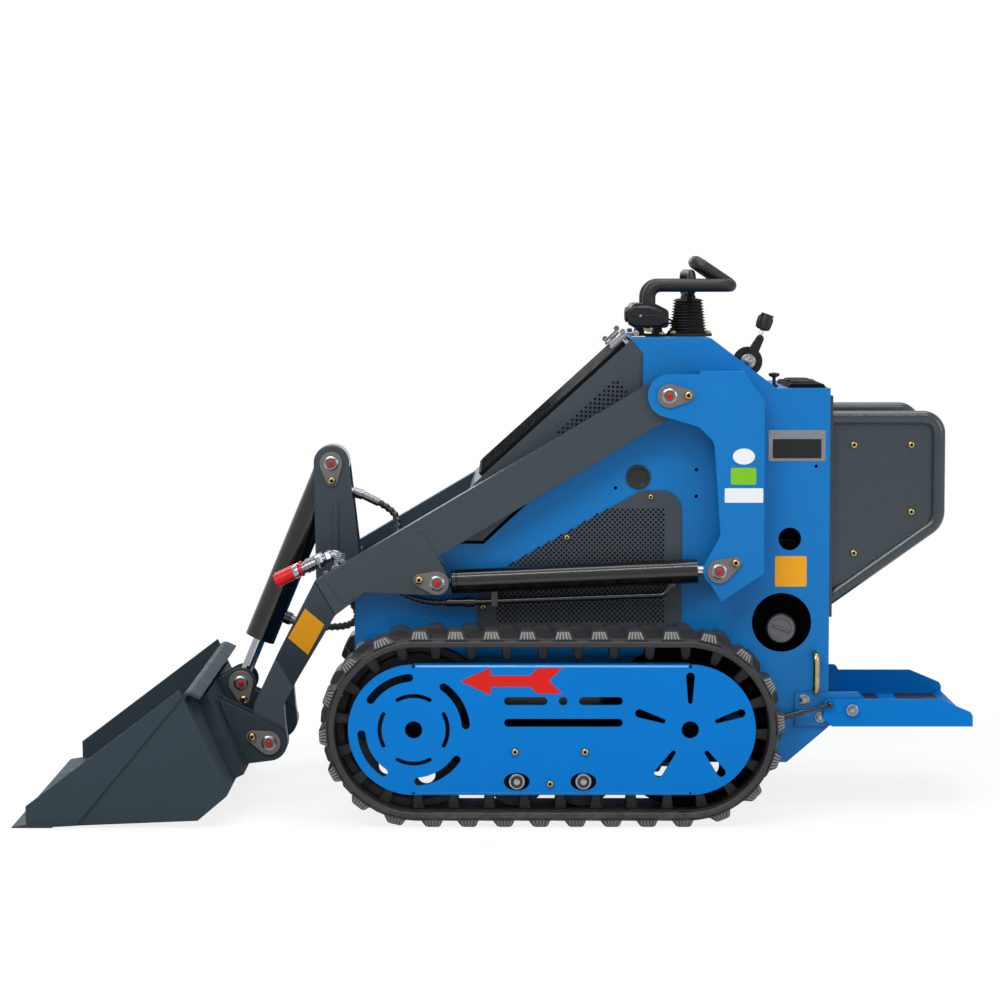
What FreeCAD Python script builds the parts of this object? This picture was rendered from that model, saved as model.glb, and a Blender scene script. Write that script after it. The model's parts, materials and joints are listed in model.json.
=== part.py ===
"""Mini track loader: a stand-on tracked loader with a bucket, at real size.

Millimetres. +X is forward, +Y is the machine's left, +Z is up. The origin is on the ground,
midway along the machine and on its centre plane. An outline lies in the XZ plane and is
extruded along Y. Names that end in _Y are distances from the centre plane.
"""
import FreeCAD, Part
import math
import os

V = FreeCAD.Vector

# ---------------------------------------------------------------- driving dimensions
# Body
SHEET = 5.0                      # side plates, floor pan, front panel and cowl
BODY_Y = 224.0                   # outside of the side plates
BODY_FRONT = 294.0
BODY_REAR = -666.0
BELLY = 98.0                     # underside of the floor pan
NOSE_TOP = 430.0                 # top of the upright front panel
COWL_TOP = 958.0
COWL_FRONT = -262.0
COWL_REAR_TOP = 857.0            # the low level behind the console slope
CONSOLE_SLOPE = (-425.0, -558.0)  # X where the console slope starts and ends
RUN_GAP = 6.0                    # air between a moving piece and its neighbour
PIN_R = 15.0
PIN_GAP = 0.08                   # radial clearance of a pin in a moving eye

# Tracks
TRACK_PITCH = 70.6
TRACK_LINKS = 30
SPROCKET_TEETH = 15
TRACK_WIDTH = 180.0
TRACK_OUT_Y = 440.0              # outboard edge of the belt
TRACK_MID_X = -102.0             # midway between the two wheels
BELT = 13.0
SHOE = 19.0                      # height of a shoe's bar above the belt
DRIVE_LUG = 30.0                 # height of a drive lug inside the belt
LUG_Y = (22.0, 35.0)             # each row of drive lugs, measured from the track's middle
WHEEL_HALF = 19.0                # half width of the wheels that run between the two rows
WEB_HALF = 6.0
IDLER_HOLES, SPROCKET_HOLES = 8, 6
GUARD_INSET = 33.0451            # how far a guard's round end lies inside the belt
GUARD_REACH = 7.0                # how far a guard's centres lie outside the wheels'
GUARD_Y = (427.0, 433.0)
FRAME_Y = (BODY_Y, 238.0)
ROLLER_RAIL_Y = (404.0, 412.0)
ROLLER_SPREAD = 131.0
ROLLER_R = 59.0
ROLLER_AXLE_R = 12.0

# Boom
BOOM_PIVOT = (-337.7, 844.4)
LEG_FOLDS = ((351.7, 437.3), (440.6, 275.2))   # middle of the fold at the elbow and above the toe
FOLD_RAKE = math.radians(59.4)   # slope of both folds
BOOM_RAKE = math.radians(30.5)   # fall of the main beams
BEAM_DEPTH = 81.0
ARM_Y = (238.0, 276.0)           # main beams
TOE_Y = (143.0, 177.0)           # lower ends of the arms
TOWER_Y = (282.0, 290.0)         # outer plates of the lift towers
LIFT_FOOT = (-438.5, 492.8)      # lift cylinder's rod pin on the tower
LIFT_HEAD = (126.5, 468.0)       # lift cylinder's barrel pin on the arm
LIFT_TUBE_R = 25.0
LIFT_ROD_R = 12.5
TILT_HEAD = (350.0, 694.8)       # tilt cylinder's barrel pin
TILT_FOOT = (539.7, 236.4)       # tilt cylinder's rod pin on the hitch
TILT_TUBE_R = 31.5
TILT_ROD_R = 12.5
BUCKET_PIVOT = (471.0, 132.5)
TILT_EAR_Y = (32.0, 42.0)        # ears on the hitch, either side of the tilt rod
TILT_EYE_Y = 22.0                # half width of the tilt rod's eye

# Bucket
BUCKET_Y = 439.5
BUCKET_SIDE = 6.0
SIDE_DOUBLER = 5.0               # wear plate on the outside of each bucket side
BUCKET_SHELL = 6.0
HITCH_Y = 300.0
HITCH_PLATE = 22.0               # thickness of the attachment plate
HITCH_FOOT = 8.0                 # its lower and upper edges, measured up from the bucket's heel
HITCH_TOP = 184.0
HITCH_EAR = 8.0

# Platform and guards
PLATFORM_PIVOT = (-712.3, 207.2)
PLATFORM_Y = 240.0
PLATFORM_FLOOR = 173.0           # underside of the platform
RAIL = 5.0                       # its sheet thickness
GUARD_TUBE_R = 14.0
HIP_INSET = 24.0                 # how far the hip guards lie inside the body's sides
ENGINE_GAP = 29.0                # between the engine and each side plate


# ---------------------------------------------------------------- shape helpers
def rounded(corners):
    """Closed XZ outline through corners (x, z) or (x, z, radius)."""
    spans = []
    for i, corner in enumerate(corners):
        here = V(corner[0], 0, corner[1])
        radius = corner[2] if len(corner) > 2 else 0.0
        if radius == 0.0:
            spans.append((here, None, here))
            continue
        before = corners[i - 1]
        after = corners[(i + 1) % len(corners)]
        back = (V(before[0], 0, before[1]) - here).normalize()
        ahead = (V(after[0], 0, after[1]) - here).normalize()
        half = back.getAngle(ahead) / 2
        inward = (back + ahead).normalize()
        reach = radius / math.tan(half)
        middle = here + inward * (radius / math.sin(half) - radius)
        spans.append((here + back * reach, middle, here + ahead * reach))
    edges = []
    for i, (start, middle, end) in enumerate(spans):
        if middle:
            edges.append(Part.Arc(start, middle, end).toShape())
        follow = spans[(i + 1) % len(spans)][0]
        if (follow - end).Length > 1e-6:
            edges.append(Part.LineSegment(end, follow).toShape())
    return Part.Wire(edges)


def wrap(circles):
    """Outline of a band pulled tight round circles (x, z, radius), listed anticlockwise."""
    turns = []
    for i, (ax, az, ar) in enumerate(circles):
        bx, bz, br = circles[(i + 1) % len(circles)]
        lean = math.acos((ar - br) / math.hypot(bx - ax, bz - az))
        turns.append(math.atan2(bz - az, bx - ax) - lean)
    edges = []
    for i, (x, z, r) in enumerate(circles):
        first, last = turns[i - 1], turns[i]
        while last < first:
            last += 2 * math.pi
        start, middle, end = (
            V(x + r * math.cos(a), 0, z + r * math.sin(a)) for a in (first, (first + last) / 2, last)
        )
        if r > 0:
            edges.append(Part.Arc(start, middle, end).toShape())
        nx, nz, nr = circles[(i + 1) % len(circles)]
        follow = V(nx + nr * math.cos(last), 0, nz + nr * math.sin(last))
        edges.append(Part.LineSegment(end, follow).toShape())
    return Part.Wire(edges)


def folded(path, thickness, bend=0.0):
    """Outline of a sheet folded along an open XZ path, with its thickness on the path's left."""
    points = [V(x, 0, z) for x, z in path]
    inner = []
    for i, here in enumerate(points):
        into = (here - points[i - 1]).normalize() if i else None
        out = (points[i + 1] - here).normalize() if i + 1 < len(points) else None
        into = into or out
        out = out or into
        left = (V(-into.z, 0, into.x) + V(-out.z, 0, out.x)).normalize()
        stretch = thickness / (left.x * -into.z + left.z * into.x)
        inner.append(here + left * stretch)
    corners = []
    for side, ring in ((1, points), (-1, inner[::-1])):
        for i, p in enumerate(ring):
            if bend == 0.0 or i in (0, len(ring) - 1):
                corners.append((p.x, p.z))
                continue
            a, b = p - ring[i - 1], ring[i + 1] - p
            turn = (a.x * b.z - a.z * b.x) * side
            corners.append((p.x, p.z, bend if (turn < 0) == (side > 0) else bend + thickness))
    return rounded(corners)


def slab(outline, y0, y1):
    """Plate with an XZ outline, from y0 to y1."""
    face = Part.Face(outline)
    face.translate(V(0, y0, 0))
    return face.extrude(V(0, y1 - y0, 0))


def rod(centre, radius, y0, y1):
    """Cylinder along Y at an XZ point."""
    return Part.makeCylinder(radius, y1 - y0, V(centre[0], y0, centre[1]), V(0, 1, 0))


def block(x0, x1, y0, y1, z0, z1):
    return Part.makeBox(x1 - x0, y1 - y0, z1 - z0, V(x0, y0, z0))


def turned(centre, profile):
    """Body of revolution about the Y axis through centre, from (y, radius) points."""
    points = [V(centre[0] + r, y, centre[1]) for y, r in profile]
    face = Part.Face(Part.makePolygon(points + points[:1]))
    return face.revolve(V(centre[0], 0, centre[1]), V(0, 1, 0), 360)


def bar(start, end, radius):
    """Round bar between two points in space."""
    return Part.makeCylinder(radius, (end - start).Length, start, end - start)


def joined(pieces):
    """One solid from pieces that touch or overlap."""
    return pieces[0].multiFuse(pieces[1:]).removeSplitter()


def both_sides(shape):
    """The piece and its mirror image in the centre plane."""
    return Part.makeCompound([shape, mirrored(shape)])


def mirrored(shape):
    return shape.mirror(V(0, 0, 0), V(0, 1, 0))


def save(name, shape):
    shape.exportStep(f"parts/{name}.step")


def save_pair(name, shape):
    """A left piece and its right-hand twin, each in its own node."""
    save(f"{name}_left", shape)
    save(f"{name}_right", mirrored(shape))


def along(start, end, distance):
    """The XZ point at a distance from start towards end."""
    length = math.hypot(end[0] - start[0], end[1] - start[1])
    share = distance / length
    return (start[0] + (end[0] - start[0]) * share, start[1] + (end[1] - start[1]) * share)


# ---------------------------------------------------------------- derived dimensions
PITCH_R = SPROCKET_TEETH * TRACK_PITCH / (2 * math.pi)
BELT_R = PITCH_R - BELT / 2                       # inner face of the belt on a wheel
GUARD_R = BELT_R - GUARD_INSET
WHEEL_BASE = (TRACK_LINKS - SPROCKET_TEETH) * TRACK_PITCH / 2
AXLE_Z = PITCH_R + BELT / 2 + SHOE                # shoes stand on the ground
FRONT_AXLE = (TRACK_MID_X + WHEEL_BASE / 2, AXLE_Z)
REAR_AXLE = (TRACK_MID_X - WHEEL_BASE / 2, AXLE_Z)
TRACK_IN_Y = TRACK_OUT_Y - TRACK_WIDTH
TRACK_Y = (TRACK_OUT_Y + TRACK_IN_Y) / 2
BODY_IN_Y = BODY_Y - SHEET
HIP_Y = BODY_Y - HIP_INSET
HOOD_FOOT = (100.0, 543.0)       # front lower corner of the hood's opening
HOOD_SILL = (33.0, 543.0)
HOOD_SHOULDER = (-288.0, 839.0)
HOOD_EDGE = (-288.0, 927.0)
HOOD_BROW = (52.0, 665.0)
HOOD_CROWN = (COWL_FRONT + 2, COWL_TOP - 8)
HOOD_SKIN = 3.0
HOOD_HINGE = (106.0, 557.0)
HINGE_PIN_R = 4.0
HINGE_Y = 150.0                  # centre of each hood hinge
HINGE_HALF = 15.0


# ---------------------------------------------------------------- body
def side_plate(filler_opening):
    """Side plate of the left half; the filler opening is on the left plate only."""
    outline = rounded([
        (BODY_FRONT, BELLY + 62), (BODY_FRONT, NOSE_TOP), HOOD_FOOT, HOOD_SILL,
        HOOD_SHOULDER, HOOD_EDGE, (COWL_FRONT, COWL_TOP), (CONSOLE_SLOPE[0], COWL_TOP),
        (CONSOLE_SLOPE[1], COWL_REAR_TOP), (BODY_REAR, COWL_REAR_TOP), (BODY_REAR, BELLY + 72),
        (BODY_REAR + 84, BELLY), (BODY_FRONT - 54, BELLY),
    ])
    plate = slab(outline, BODY_IN_Y, BODY_Y)
    vent_opening = slab(vent_outline(18), BODY_IN_Y - 1, BODY_Y + 1)
    cuts = [vent_opening]
    cuts += [rod(TIE_DOWN, TIE_DOWN_R, BODY_IN_Y - 1, BODY_Y + 1), rod(PORT, 22, BODY_IN_Y - 1, BODY_Y + 1)]
    cuts += [rod(hole, 3.5, BODY_IN_Y - 1, BODY_Y + 1)
             for hole in ((-233, 656), (-396.5, 693), (-396.5, 639), (-638, 700))]
    if filler_opening:
        cuts.append(rod(FILLER, 60, BODY_IN_Y - 1, BODY_Y + 1))
    return plate.cut(Part.makeCompound(cuts))


FILLER = (-570.0, 383.0)         # centre of the opening over the fuel filler
CAP = (-570.0, 369.0)
TIE_DOWN = (-585.5, 552.8)
TIE_DOWN_R = 23.0
PORT = (-279.0, 678.0)           # capped service port


def port_cap():
    """Rubber plug in the service port, with a dished face."""
    return turned(PORT, [(BODY_IN_Y, 0), (BODY_IN_Y, 21.9), (BODY_Y, 21.9), (BODY_Y, 24.5),
                         (BODY_Y + 3, 24.5), (BODY_Y + 3, 19), (BODY_Y + 1, 16), (BODY_Y + 1, 0)])


def vent_outline(inset):
    """Outline of the side vent, or of the opening behind it when inset is over 0."""
    return rounded([
        (45 - inset, 348 + inset), (45 - inset, 465 - inset * 0.6, 8),
        (-285, 651 - inset * 1.15, 40), (-367 + inset, 651 - inset, 40), (-367 + inset, 348 + inset),
    ])


def vent_panel():
    return slab(vent_outline(0), BODY_Y, BODY_Y + 3)


def floor_pan():
    path = [(BODY_REAR, 392), (BODY_REAR, BELLY + 72), (BODY_REAR + 84, BELLY),
            (BODY_FRONT - 54, BELLY)]
    return slab(folded(path, SHEET), -BODY_IN_Y, BODY_IN_Y)


def front_panel():
    path = [(BODY_FRONT - 54, BELLY), (BODY_FRONT, BELLY + 62), (BODY_FRONT, NOSE_TOP), HOOD_FOOT]
    return slab(folded(path, SHEET), -BODY_IN_Y, BODY_IN_Y).cut(floor_pan())


def cowl():
    path = [(HOOD_EDGE[0], 640), HOOD_EDGE, (COWL_FRONT, COWL_TOP), (CONSOLE_SLOPE[0], COWL_TOP),
            (CONSOLE_SLOPE[1], COWL_REAR_TOP), (BODY_REAR, COWL_REAR_TOP)]
    return slab(folded(path, SHEET), -BODY_IN_Y, BODY_IN_Y)


def rear_panel():
    return block(BODY_REAR - 6, BODY_REAR, -BODY_IN_Y, BODY_IN_Y, 394, 842)


def engine_block():
    floor, half = BELLY + SHEET, BODY_IN_Y - ENGINE_GAP
    block_body = block(-255, 65, -half, half, floor + 30, 500)
    feet = [block(x, x + 50, y, y + 60, floor, floor + 30) for x in (-240, 0) for y in (10 - half, half - 70)]
    return joined([block_body] + feet)


def fuel_tank():
    floor = BELLY + SHEET
    tank = slab(rounded([(-640, 192), (-574, floor), (-480, floor), (-480, 520, 20), (-640, 520, 20)]),
                -165, 165)
    neck = rod(CAP, 22, 160, 196)
    return joined([tank, neck])


def filler_cap():
    return turned(CAP, [(196, 0), (196, 28), (198, 30), (211, 30), (214, 27), (214, 0)])


# ---------------------------------------------------------------- hood
def hood_shell():
    """Grey cheeks, front and frame of the hood; it is open below."""
    gap = RUN_GAP
    outer = [
        (HOOD_FOOT[0] - gap, HOOD_FOOT[1] + gap), (HOOD_SILL[0] + 3, HOOD_SILL[1] + gap),
        (HOOD_SHOULDER[0] + gap, HOOD_SHOULDER[1] + 6), (HOOD_EDGE[0] + gap, HOOD_EDGE[1] - 2),
        HOOD_CROWN, HOOD_BROW,
    ]
    skin = HOOD_SKIN
    solid = slab(rounded(outer), -BODY_Y, BODY_Y)
    hollow = slab(rounded([
        (HOOD_FOOT[0] - gap - skin, HOOD_FOOT[1]), (HOOD_SILL[0], HOOD_SILL[1] - 40),
        (HOOD_SHOULDER[0] - 40, HOOD_SHOULDER[1]), (HOOD_EDGE[0] - 60, HOOD_EDGE[1] - 2),
        (HOOD_CROWN[0] - 4, HOOD_CROWN[1] - skin * 1.4), (HOOD_BROW[0] - skin * 0.9, HOOD_BROW[1] - skin),
    ]), -BODY_Y + skin, BODY_Y - skin)
    mouth = slab(rounded([(20, 600), (20, 800), (-250, 1050), (-250, 855)]),
                 -BODY_Y + 30, BODY_Y - 30)
    shell = solid.cut(hollow).cut(mouth)
    face = along(HOOD_BROW, (HOOD_FOOT[0] - gap, HOOD_FOOT[1] + gap), 100)
    knuckle = slab(wrap([(*HOOD_HINGE, 8), (face[0] - 1, face[1], 1)]),
                   HINGE_Y - HINGE_HALF, HINGE_Y + HINGE_HALF)
    knuckle = knuckle.cut(rod(HOOD_HINGE, HINGE_PIN_R + 0.1, 0, BODY_Y))
    return joined([shell, knuckle, mirrored(knuckle)])


def hood_hinge():
    """Pin between two lugs on the nose; the hood's knuckle turns on it."""
    low, high = HINGE_Y - HINGE_HALF, HINGE_Y + HINGE_HALF
    lugs = [slab(wrap([(*HOOD_HINGE, 7), (HOOD_FOOT[0] + 8, HOOD_FOOT[1] - 8, 1),
                       (HOOD_FOOT[0] + 30, HOOD_FOOT[1] - 20, 1)]), y, y + 5)
            for y in (low - 5.3, high + 0.3)]
    pin = rod(HOOD_HINGE, HINGE_PIN_R, low - 7, high + 7)
    return joined(lugs + [pin]).cut(front_panel())


def hood_grille():
    """Black mesh panel set in the sloping top of the hood."""
    top = along(HOOD_CROWN, HOOD_BROW, 8)
    foot = along(HOOD_BROW, HOOD_CROWN, 20)
    rise = (foot[0] - top[0], foot[1] - top[1])
    length = math.hypot(*rise)
    out = (-rise[1] / length, rise[0] / length)
    corners = [top, foot, (foot[0] + out[0] * 8, foot[1] + out[1] * 8),
               (top[0] + out[0] * 8, top[1] + out[1] * 8)]
    return slab(rounded(corners), -BODY_Y + 14, BODY_Y - 14)


# ---------------------------------------------------------------- undercarriage
def on_track(distance, radius):
    """XZ point and outward direction on the loop, at a distance along its pitch line."""
    arc = math.pi * PITCH_R
    distance %= 2 * (arc + WHEEL_BASE)
    if distance < arc:
        angle = -math.pi / 2 + distance / PITCH_R
        centre = FRONT_AXLE
    elif distance < arc + WHEEL_BASE:
        angle = math.pi / 2
        centre = (FRONT_AXLE[0] - (distance - arc), AXLE_Z)
    elif distance < 2 * arc + WHEEL_BASE:
        angle = math.pi / 2 + (distance - arc - WHEEL_BASE) / PITCH_R
        centre = REAR_AXLE
    else:
        angle = -math.pi / 2
        centre = (REAR_AXLE[0] + (distance - 2 * arc - WHEEL_BASE), AXLE_Z)
    point = V(centre[0] + radius * math.cos(angle), 0, centre[1] + radius * math.sin(angle))
    return point, V(math.cos(angle), 0, math.sin(angle))


def track_bar(distance, root, tip, root_width, tip_width, y0, y1):
    """Tapered bar across the belt, from radius root to radius tip."""
    base, out = on_track(distance, root)
    sideways = V(-out.z, 0, out.x)
    top = base + out * (tip - root)
    corners = [base - sideways * (root_width / 2), base + sideways * (root_width / 2),
               top + sideways * (tip_width / 2), top - sideways * (tip_width / 2)]
    face = Part.Face(Part.makePolygon(corners + corners[:1]))
    face.translate(V(0, y0, 0))
    return face.extrude(V(0, y1 - y0, 0))


def loop_outline(radius):
    return wrap([(*REAR_AXLE, radius), (*FRONT_AXLE, radius)])


def track():
    """Endless rubber belt with two staggered rows of shoes and two rows of drive lugs."""
    belt = slab(loop_outline(BELT_R + BELT), TRACK_IN_Y, TRACK_OUT_Y)
    belt = belt.cut(slab(loop_outline(BELT_R), TRACK_IN_Y - 1, TRACK_OUT_Y + 1))
    sunk = 2.0
    shoe_foot, shoe_tip = BELT_R + BELT - sunk, BELT_R + BELT + SHOE
    lug_foot, lug_tip = BELT_R + sunk, BELT_R - DRIVE_LUG
    bars = []
    for link in range(TRACK_LINKS):
        here = link * TRACK_PITCH
        offset = here + 0.35 * TRACK_PITCH
        bars.append(track_bar(here, shoe_foot, shoe_tip, 36, 25, TRACK_Y - 4, TRACK_OUT_Y - 3))
        bars.append(track_bar(offset, shoe_foot, shoe_tip, 36, 25, TRACK_IN_Y + 3, TRACK_Y + 4))
        for y0, y1 in (LUG_Y, (-LUG_Y[1], -LUG_Y[0])):
            bars.append(track_bar(here, lug_foot, lug_tip, 27, 19, TRACK_Y + y0, TRACK_Y + y1))
    return joined([belt] + bars)


def lightening_holes(centre, count, first, reach, radius):
    """Cutter for a ring of holes through a wheel's web; first is an angle in degrees."""
    angles = [math.radians(first + 360 * k / count) for k in range(count)]
    return Part.makeCompound([
        rod((centre[0] + reach * math.cos(a), centre[1] + reach * math.sin(a)), radius,
            TRACK_Y - WHEEL_HALF, TRACK_Y + WHEEL_HALF) for a in angles])


def idler():
    """Front wheel: a rim that runs on the belt between the lugs, a pierced web and a hub."""
    rim, y = BELT_R - 0.5, TRACK_Y
    wheel = turned(FRONT_AXLE, [
        (y - 30, 0), (y - 30, 52), (y - WEB_HALF, 56), (y - WEB_HALF, rim - 20), (y - WHEEL_HALF, rim - 14),
        (y - WHEEL_HALF, rim), (y + WHEEL_HALF, rim), (y + WHEEL_HALF, rim - 14), (y + WEB_HALF, rim - 20),
        (y + WEB_HALF, 56), (y + 30, 52), (y + 30, 0),
    ])
    axle = rod(FRONT_AXLE, 30, FRAME_Y[1], y + 60)
    return joined([wheel, axle]).cut(lightening_holes(FRONT_AXLE, IDLER_HOLES, 36, 103, 18))


def sprocket():
    """Rear wheel: a pierced disc with cross bars that fill the gaps between the drive lugs."""
    rim, y = BELT_R - 0.5, TRACK_Y
    disc = turned(REAR_AXLE, [
        (y - WEB_HALF, 0), (y - WEB_HALF, rim - 30), (y - WHEEL_HALF, rim - 24), (y - WHEEL_HALF, rim),
        (y + WHEEL_HALF, rim), (y + WHEEL_HALF, rim - 24), (y + WEB_HALF, rim - 30), (y + WEB_HALF, 0),
    ])
    hub = rod(REAR_AXLE, 62, TRACK_IN_Y + 10, y + 32)
    motor = rod(REAR_AXLE, 42, FRAME_Y[1], TRACK_IN_Y + 10)
    stub = rod(REAR_AXLE, 30, y + 32, y + 60)
    teeth = []
    first = 2 * math.pi * PITCH_R / 2 + WHEEL_BASE
    start = math.ceil(first / TRACK_PITCH) + 0.5
    for tooth in range(SPROCKET_TEETH):
        angle = math.pi / 2 + (start * TRACK_PITCH - first) / PITCH_R
        angle += 2 * math.pi * tooth / SPROCKET_TEETH
        centre = (REAR_AXLE[0] + (rim - 12) * math.cos(angle),
                  REAR_AXLE[1] + (rim - 12) * math.sin(angle))
        teeth.append(rod(centre, 9, y - LUG_Y[1] - 2, y + LUG_Y[1] + 2))
    wheel = joined([disc, hub, motor, stub] + teeth)
    return wheel.cut(lightening_holes(REAR_AXLE, SPROCKET_HOLES, 60, 97, 21))


ROLLERS = [(TRACK_MID_X + 3.5 + side * ROLLER_SPREAD / 2, AXLE_Z - BELT_R + ROLLER_R + 0.5)
           for side in (-1, 1)]


def roller(centre):
    """Lower wheel that runs on the belt between the lugs, on an axle out to the guard."""
    y = TRACK_Y
    wheel = turned(centre, [
        (y - WHEEL_HALF, 5), (y - WHEEL_HALF, ROLLER_R), (y - 12, ROLLER_R), (y - 10, ROLLER_R - 4),
        (y + 10, ROLLER_R - 4), (y + 12, ROLLER_R), (y + WHEEL_HALF, ROLLER_R), (y + WHEEL_HALF, 5),
    ])
    hub = rod(centre, 24, y - 46, y + 46)
    axle = rod(centre, ROLLER_AXLE_R, FRAME_Y[1], GUARD_Y[1] + 6)
    return joined([wheel, hub, axle])


def track_frame():
    """Beam bolted to the body; it carries the sprocket, the idler and the rollers."""
    reach = 60.0
    beam = slab(wrap([(*REAR_AXLE, reach), (*ROLLERS[0], 26), (*ROLLERS[1], 26),
                      (*FRONT_AXLE, 45)]), *FRAME_Y)
    tabs = [(x, AXLE_Z - 43) for x, _ in ROLLERS] + [(TRACK_MID_X + 3.5, AXLE_Z - 107)]
    rail = slab(wrap([(*ROLLERS[0], 20), (*ROLLERS[1], 20), (*tabs[1], 12), (*tabs[0], 12)]),
                *ROLLER_RAIL_Y)
    bosses = [rod(tab, 9, ROLLER_RAIL_Y[1], GUARD_Y[0]) for tab in tabs]
    axle_holes = [rod(centre, ROLLER_AXLE_R + 0.05, ROLLER_RAIL_Y[0] - 1, ROLLER_RAIL_Y[1] + 1)
                  for centre in ROLLERS]
    return beam, joined([rail] + bosses).cut(Part.makeCompound(axle_holes))


def arc_slot(centre, radius, width, first, last):
    """Cutter for a curved slot with round ends; angles in degrees."""
    def at(r, degrees):
        a = math.radians(degrees)
        return V(centre[0] + r * math.cos(a), 0, centre[1] + r * math.sin(a))
    half = width / 2
    cap = math.degrees(half / radius)
    middle = (first + last) / 2
    edges = [
        Part.Arc(at(radius + half, first), at(radius + half, middle), at(radius + half, last)),
        Part.Arc(at(radius + half, last), at(radius, last + cap), at(radius - half, last)),
        Part.Arc(at(radius - half, last), at(radius - half, middle), at(radius - half, first)),
        Part.Arc(at(radius - half, first), at(radius, first - cap), at(radius + half, first)),
    ]
    return slab(Part.Wire([e.toShape() for e in edges]), GUARD_Y[0] - 1, GUARD_Y[1] + 1)


def track_guard():
    """Slotted cover plate over the wheels, with its long edges folded inward."""
    front = (FRONT_AXLE[0] + GUARD_REACH, AXLE_Z)
    rear = (REAR_AXLE[0] - GUARD_REACH, AXLE_Z)
    plate = slab(wrap([(*rear, GUARD_R), (*front, GUARD_R)]), *GUARD_Y)
    lips = [block(rear[0], front[0], GUARD_Y[0] - 25, GUARD_Y[0], z, z + 4)
            for z in (AXLE_Z - GUARD_R, AXLE_Z + GUARD_R - 4)]
    cuts = [rod(front, 17, *(GUARD_Y[0] - 1, GUARD_Y[1] + 1)),
            rod(rear, 17, *(GUARD_Y[0] - 1, GUARD_Y[1] + 1))]
    for quarter in range(4):
        turn = 90 * quarter
        cuts.append(arc_slot(front, 67, 8, turn - 28, turn + 28))
        cuts.append(arc_slot(front, 103, 16, turn + 35, turn + 85))
    for spoke in range(5):
        angle = math.radians(90 + 72 * spoke)
        wide = (rear[0] + 105 * math.cos(angle), rear[1] + 105 * math.sin(angle), 8.5)
        narrow = (rear[0] + 56 * math.cos(angle), rear[1] + 56 * math.sin(angle), 4.5)
        cuts.append(slab(wrap([wide, narrow]), GUARD_Y[0] - 1, GUARD_Y[1] + 1))
    mid = (front[0] + rear[0]) / 2
    for x0, x1, z in ((mid - 131, mid - 61, 251), (mid + 17, mid + 86, 251), (mid - 131, mid + 86, 208)):
        cuts.append(slab(wrap([(x0, z, 8), (x1, z, 8)]), GUARD_Y[0] - 1, GUARD_Y[1] + 1))
    cuts.append(rod((mid - 22, 251), 8.5, GUARD_Y[0] - 1, GUARD_Y[1] + 1))
    cuts += [rod(centre, ROLLER_AXLE_R + 0.5, GUARD_Y[0] - 1, GUARD_Y[1] + 1) for centre in ROLLERS]
    return joined([plate] + lips).cut(Part.makeCompound(cuts))


# ---------------------------------------------------------------- lift towers
def tower():
    """Outer plate of a lift tower, folded back to the body along its top and rear."""
    ax, az = BOOM_PIVOT
    fx, fz = LIFT_FOOT
    plate_outline = rounded([
        (ax + 2, az + 43), (-396, az + 43), (-400, 893), (-488, 893), (-528.5, 833), (-528.5, 488),
        (-443, 431), (fx + 31, fz - 2), (fx + 31, fz + 10), (-441, 565, 20), (-428, 751, 30),
        (-398, 782, 20), (ax + 15, az - 40),
    ])
    outer = slab(plate_outline, *TOWER_Y)
    lobes = [rod(BOOM_PIVOT, 43, *TOWER_Y), rod(LIFT_FOOT, 31, *TOWER_Y)]
    rim = slab(folded([(-400, 893), (-488, 893), (-528.5, 833), (-528.5, 488), (-455, 439)], 6),
               BODY_Y, TOWER_Y[0])
    pivot_pin = rod(BOOM_PIVOT, PIN_R, BODY_Y, TOWER_Y[1] + 5)
    inner_boss = rod(BOOM_PIVOT, 24, BODY_Y, ARM_Y[0] - 2)
    foot_out = rod(LIFT_FOOT, PIN_R, LIFT_EYE_Y[1] + 3, TOWER_Y[1] + 5)
    foot_in = rod(LIFT_FOOT, PIN_R, BODY_Y, LIFT_EYE_Y[0] - 3)
    return joined([outer] + lobes + [rim, pivot_pin, inner_boss, foot_out]), foot_in


LIFT_Y = (ARM_Y[0] + ARM_Y[1]) / 2
LIFT_EYE_Y = (LIFT_Y - 10, LIFT_Y + 10)


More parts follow.
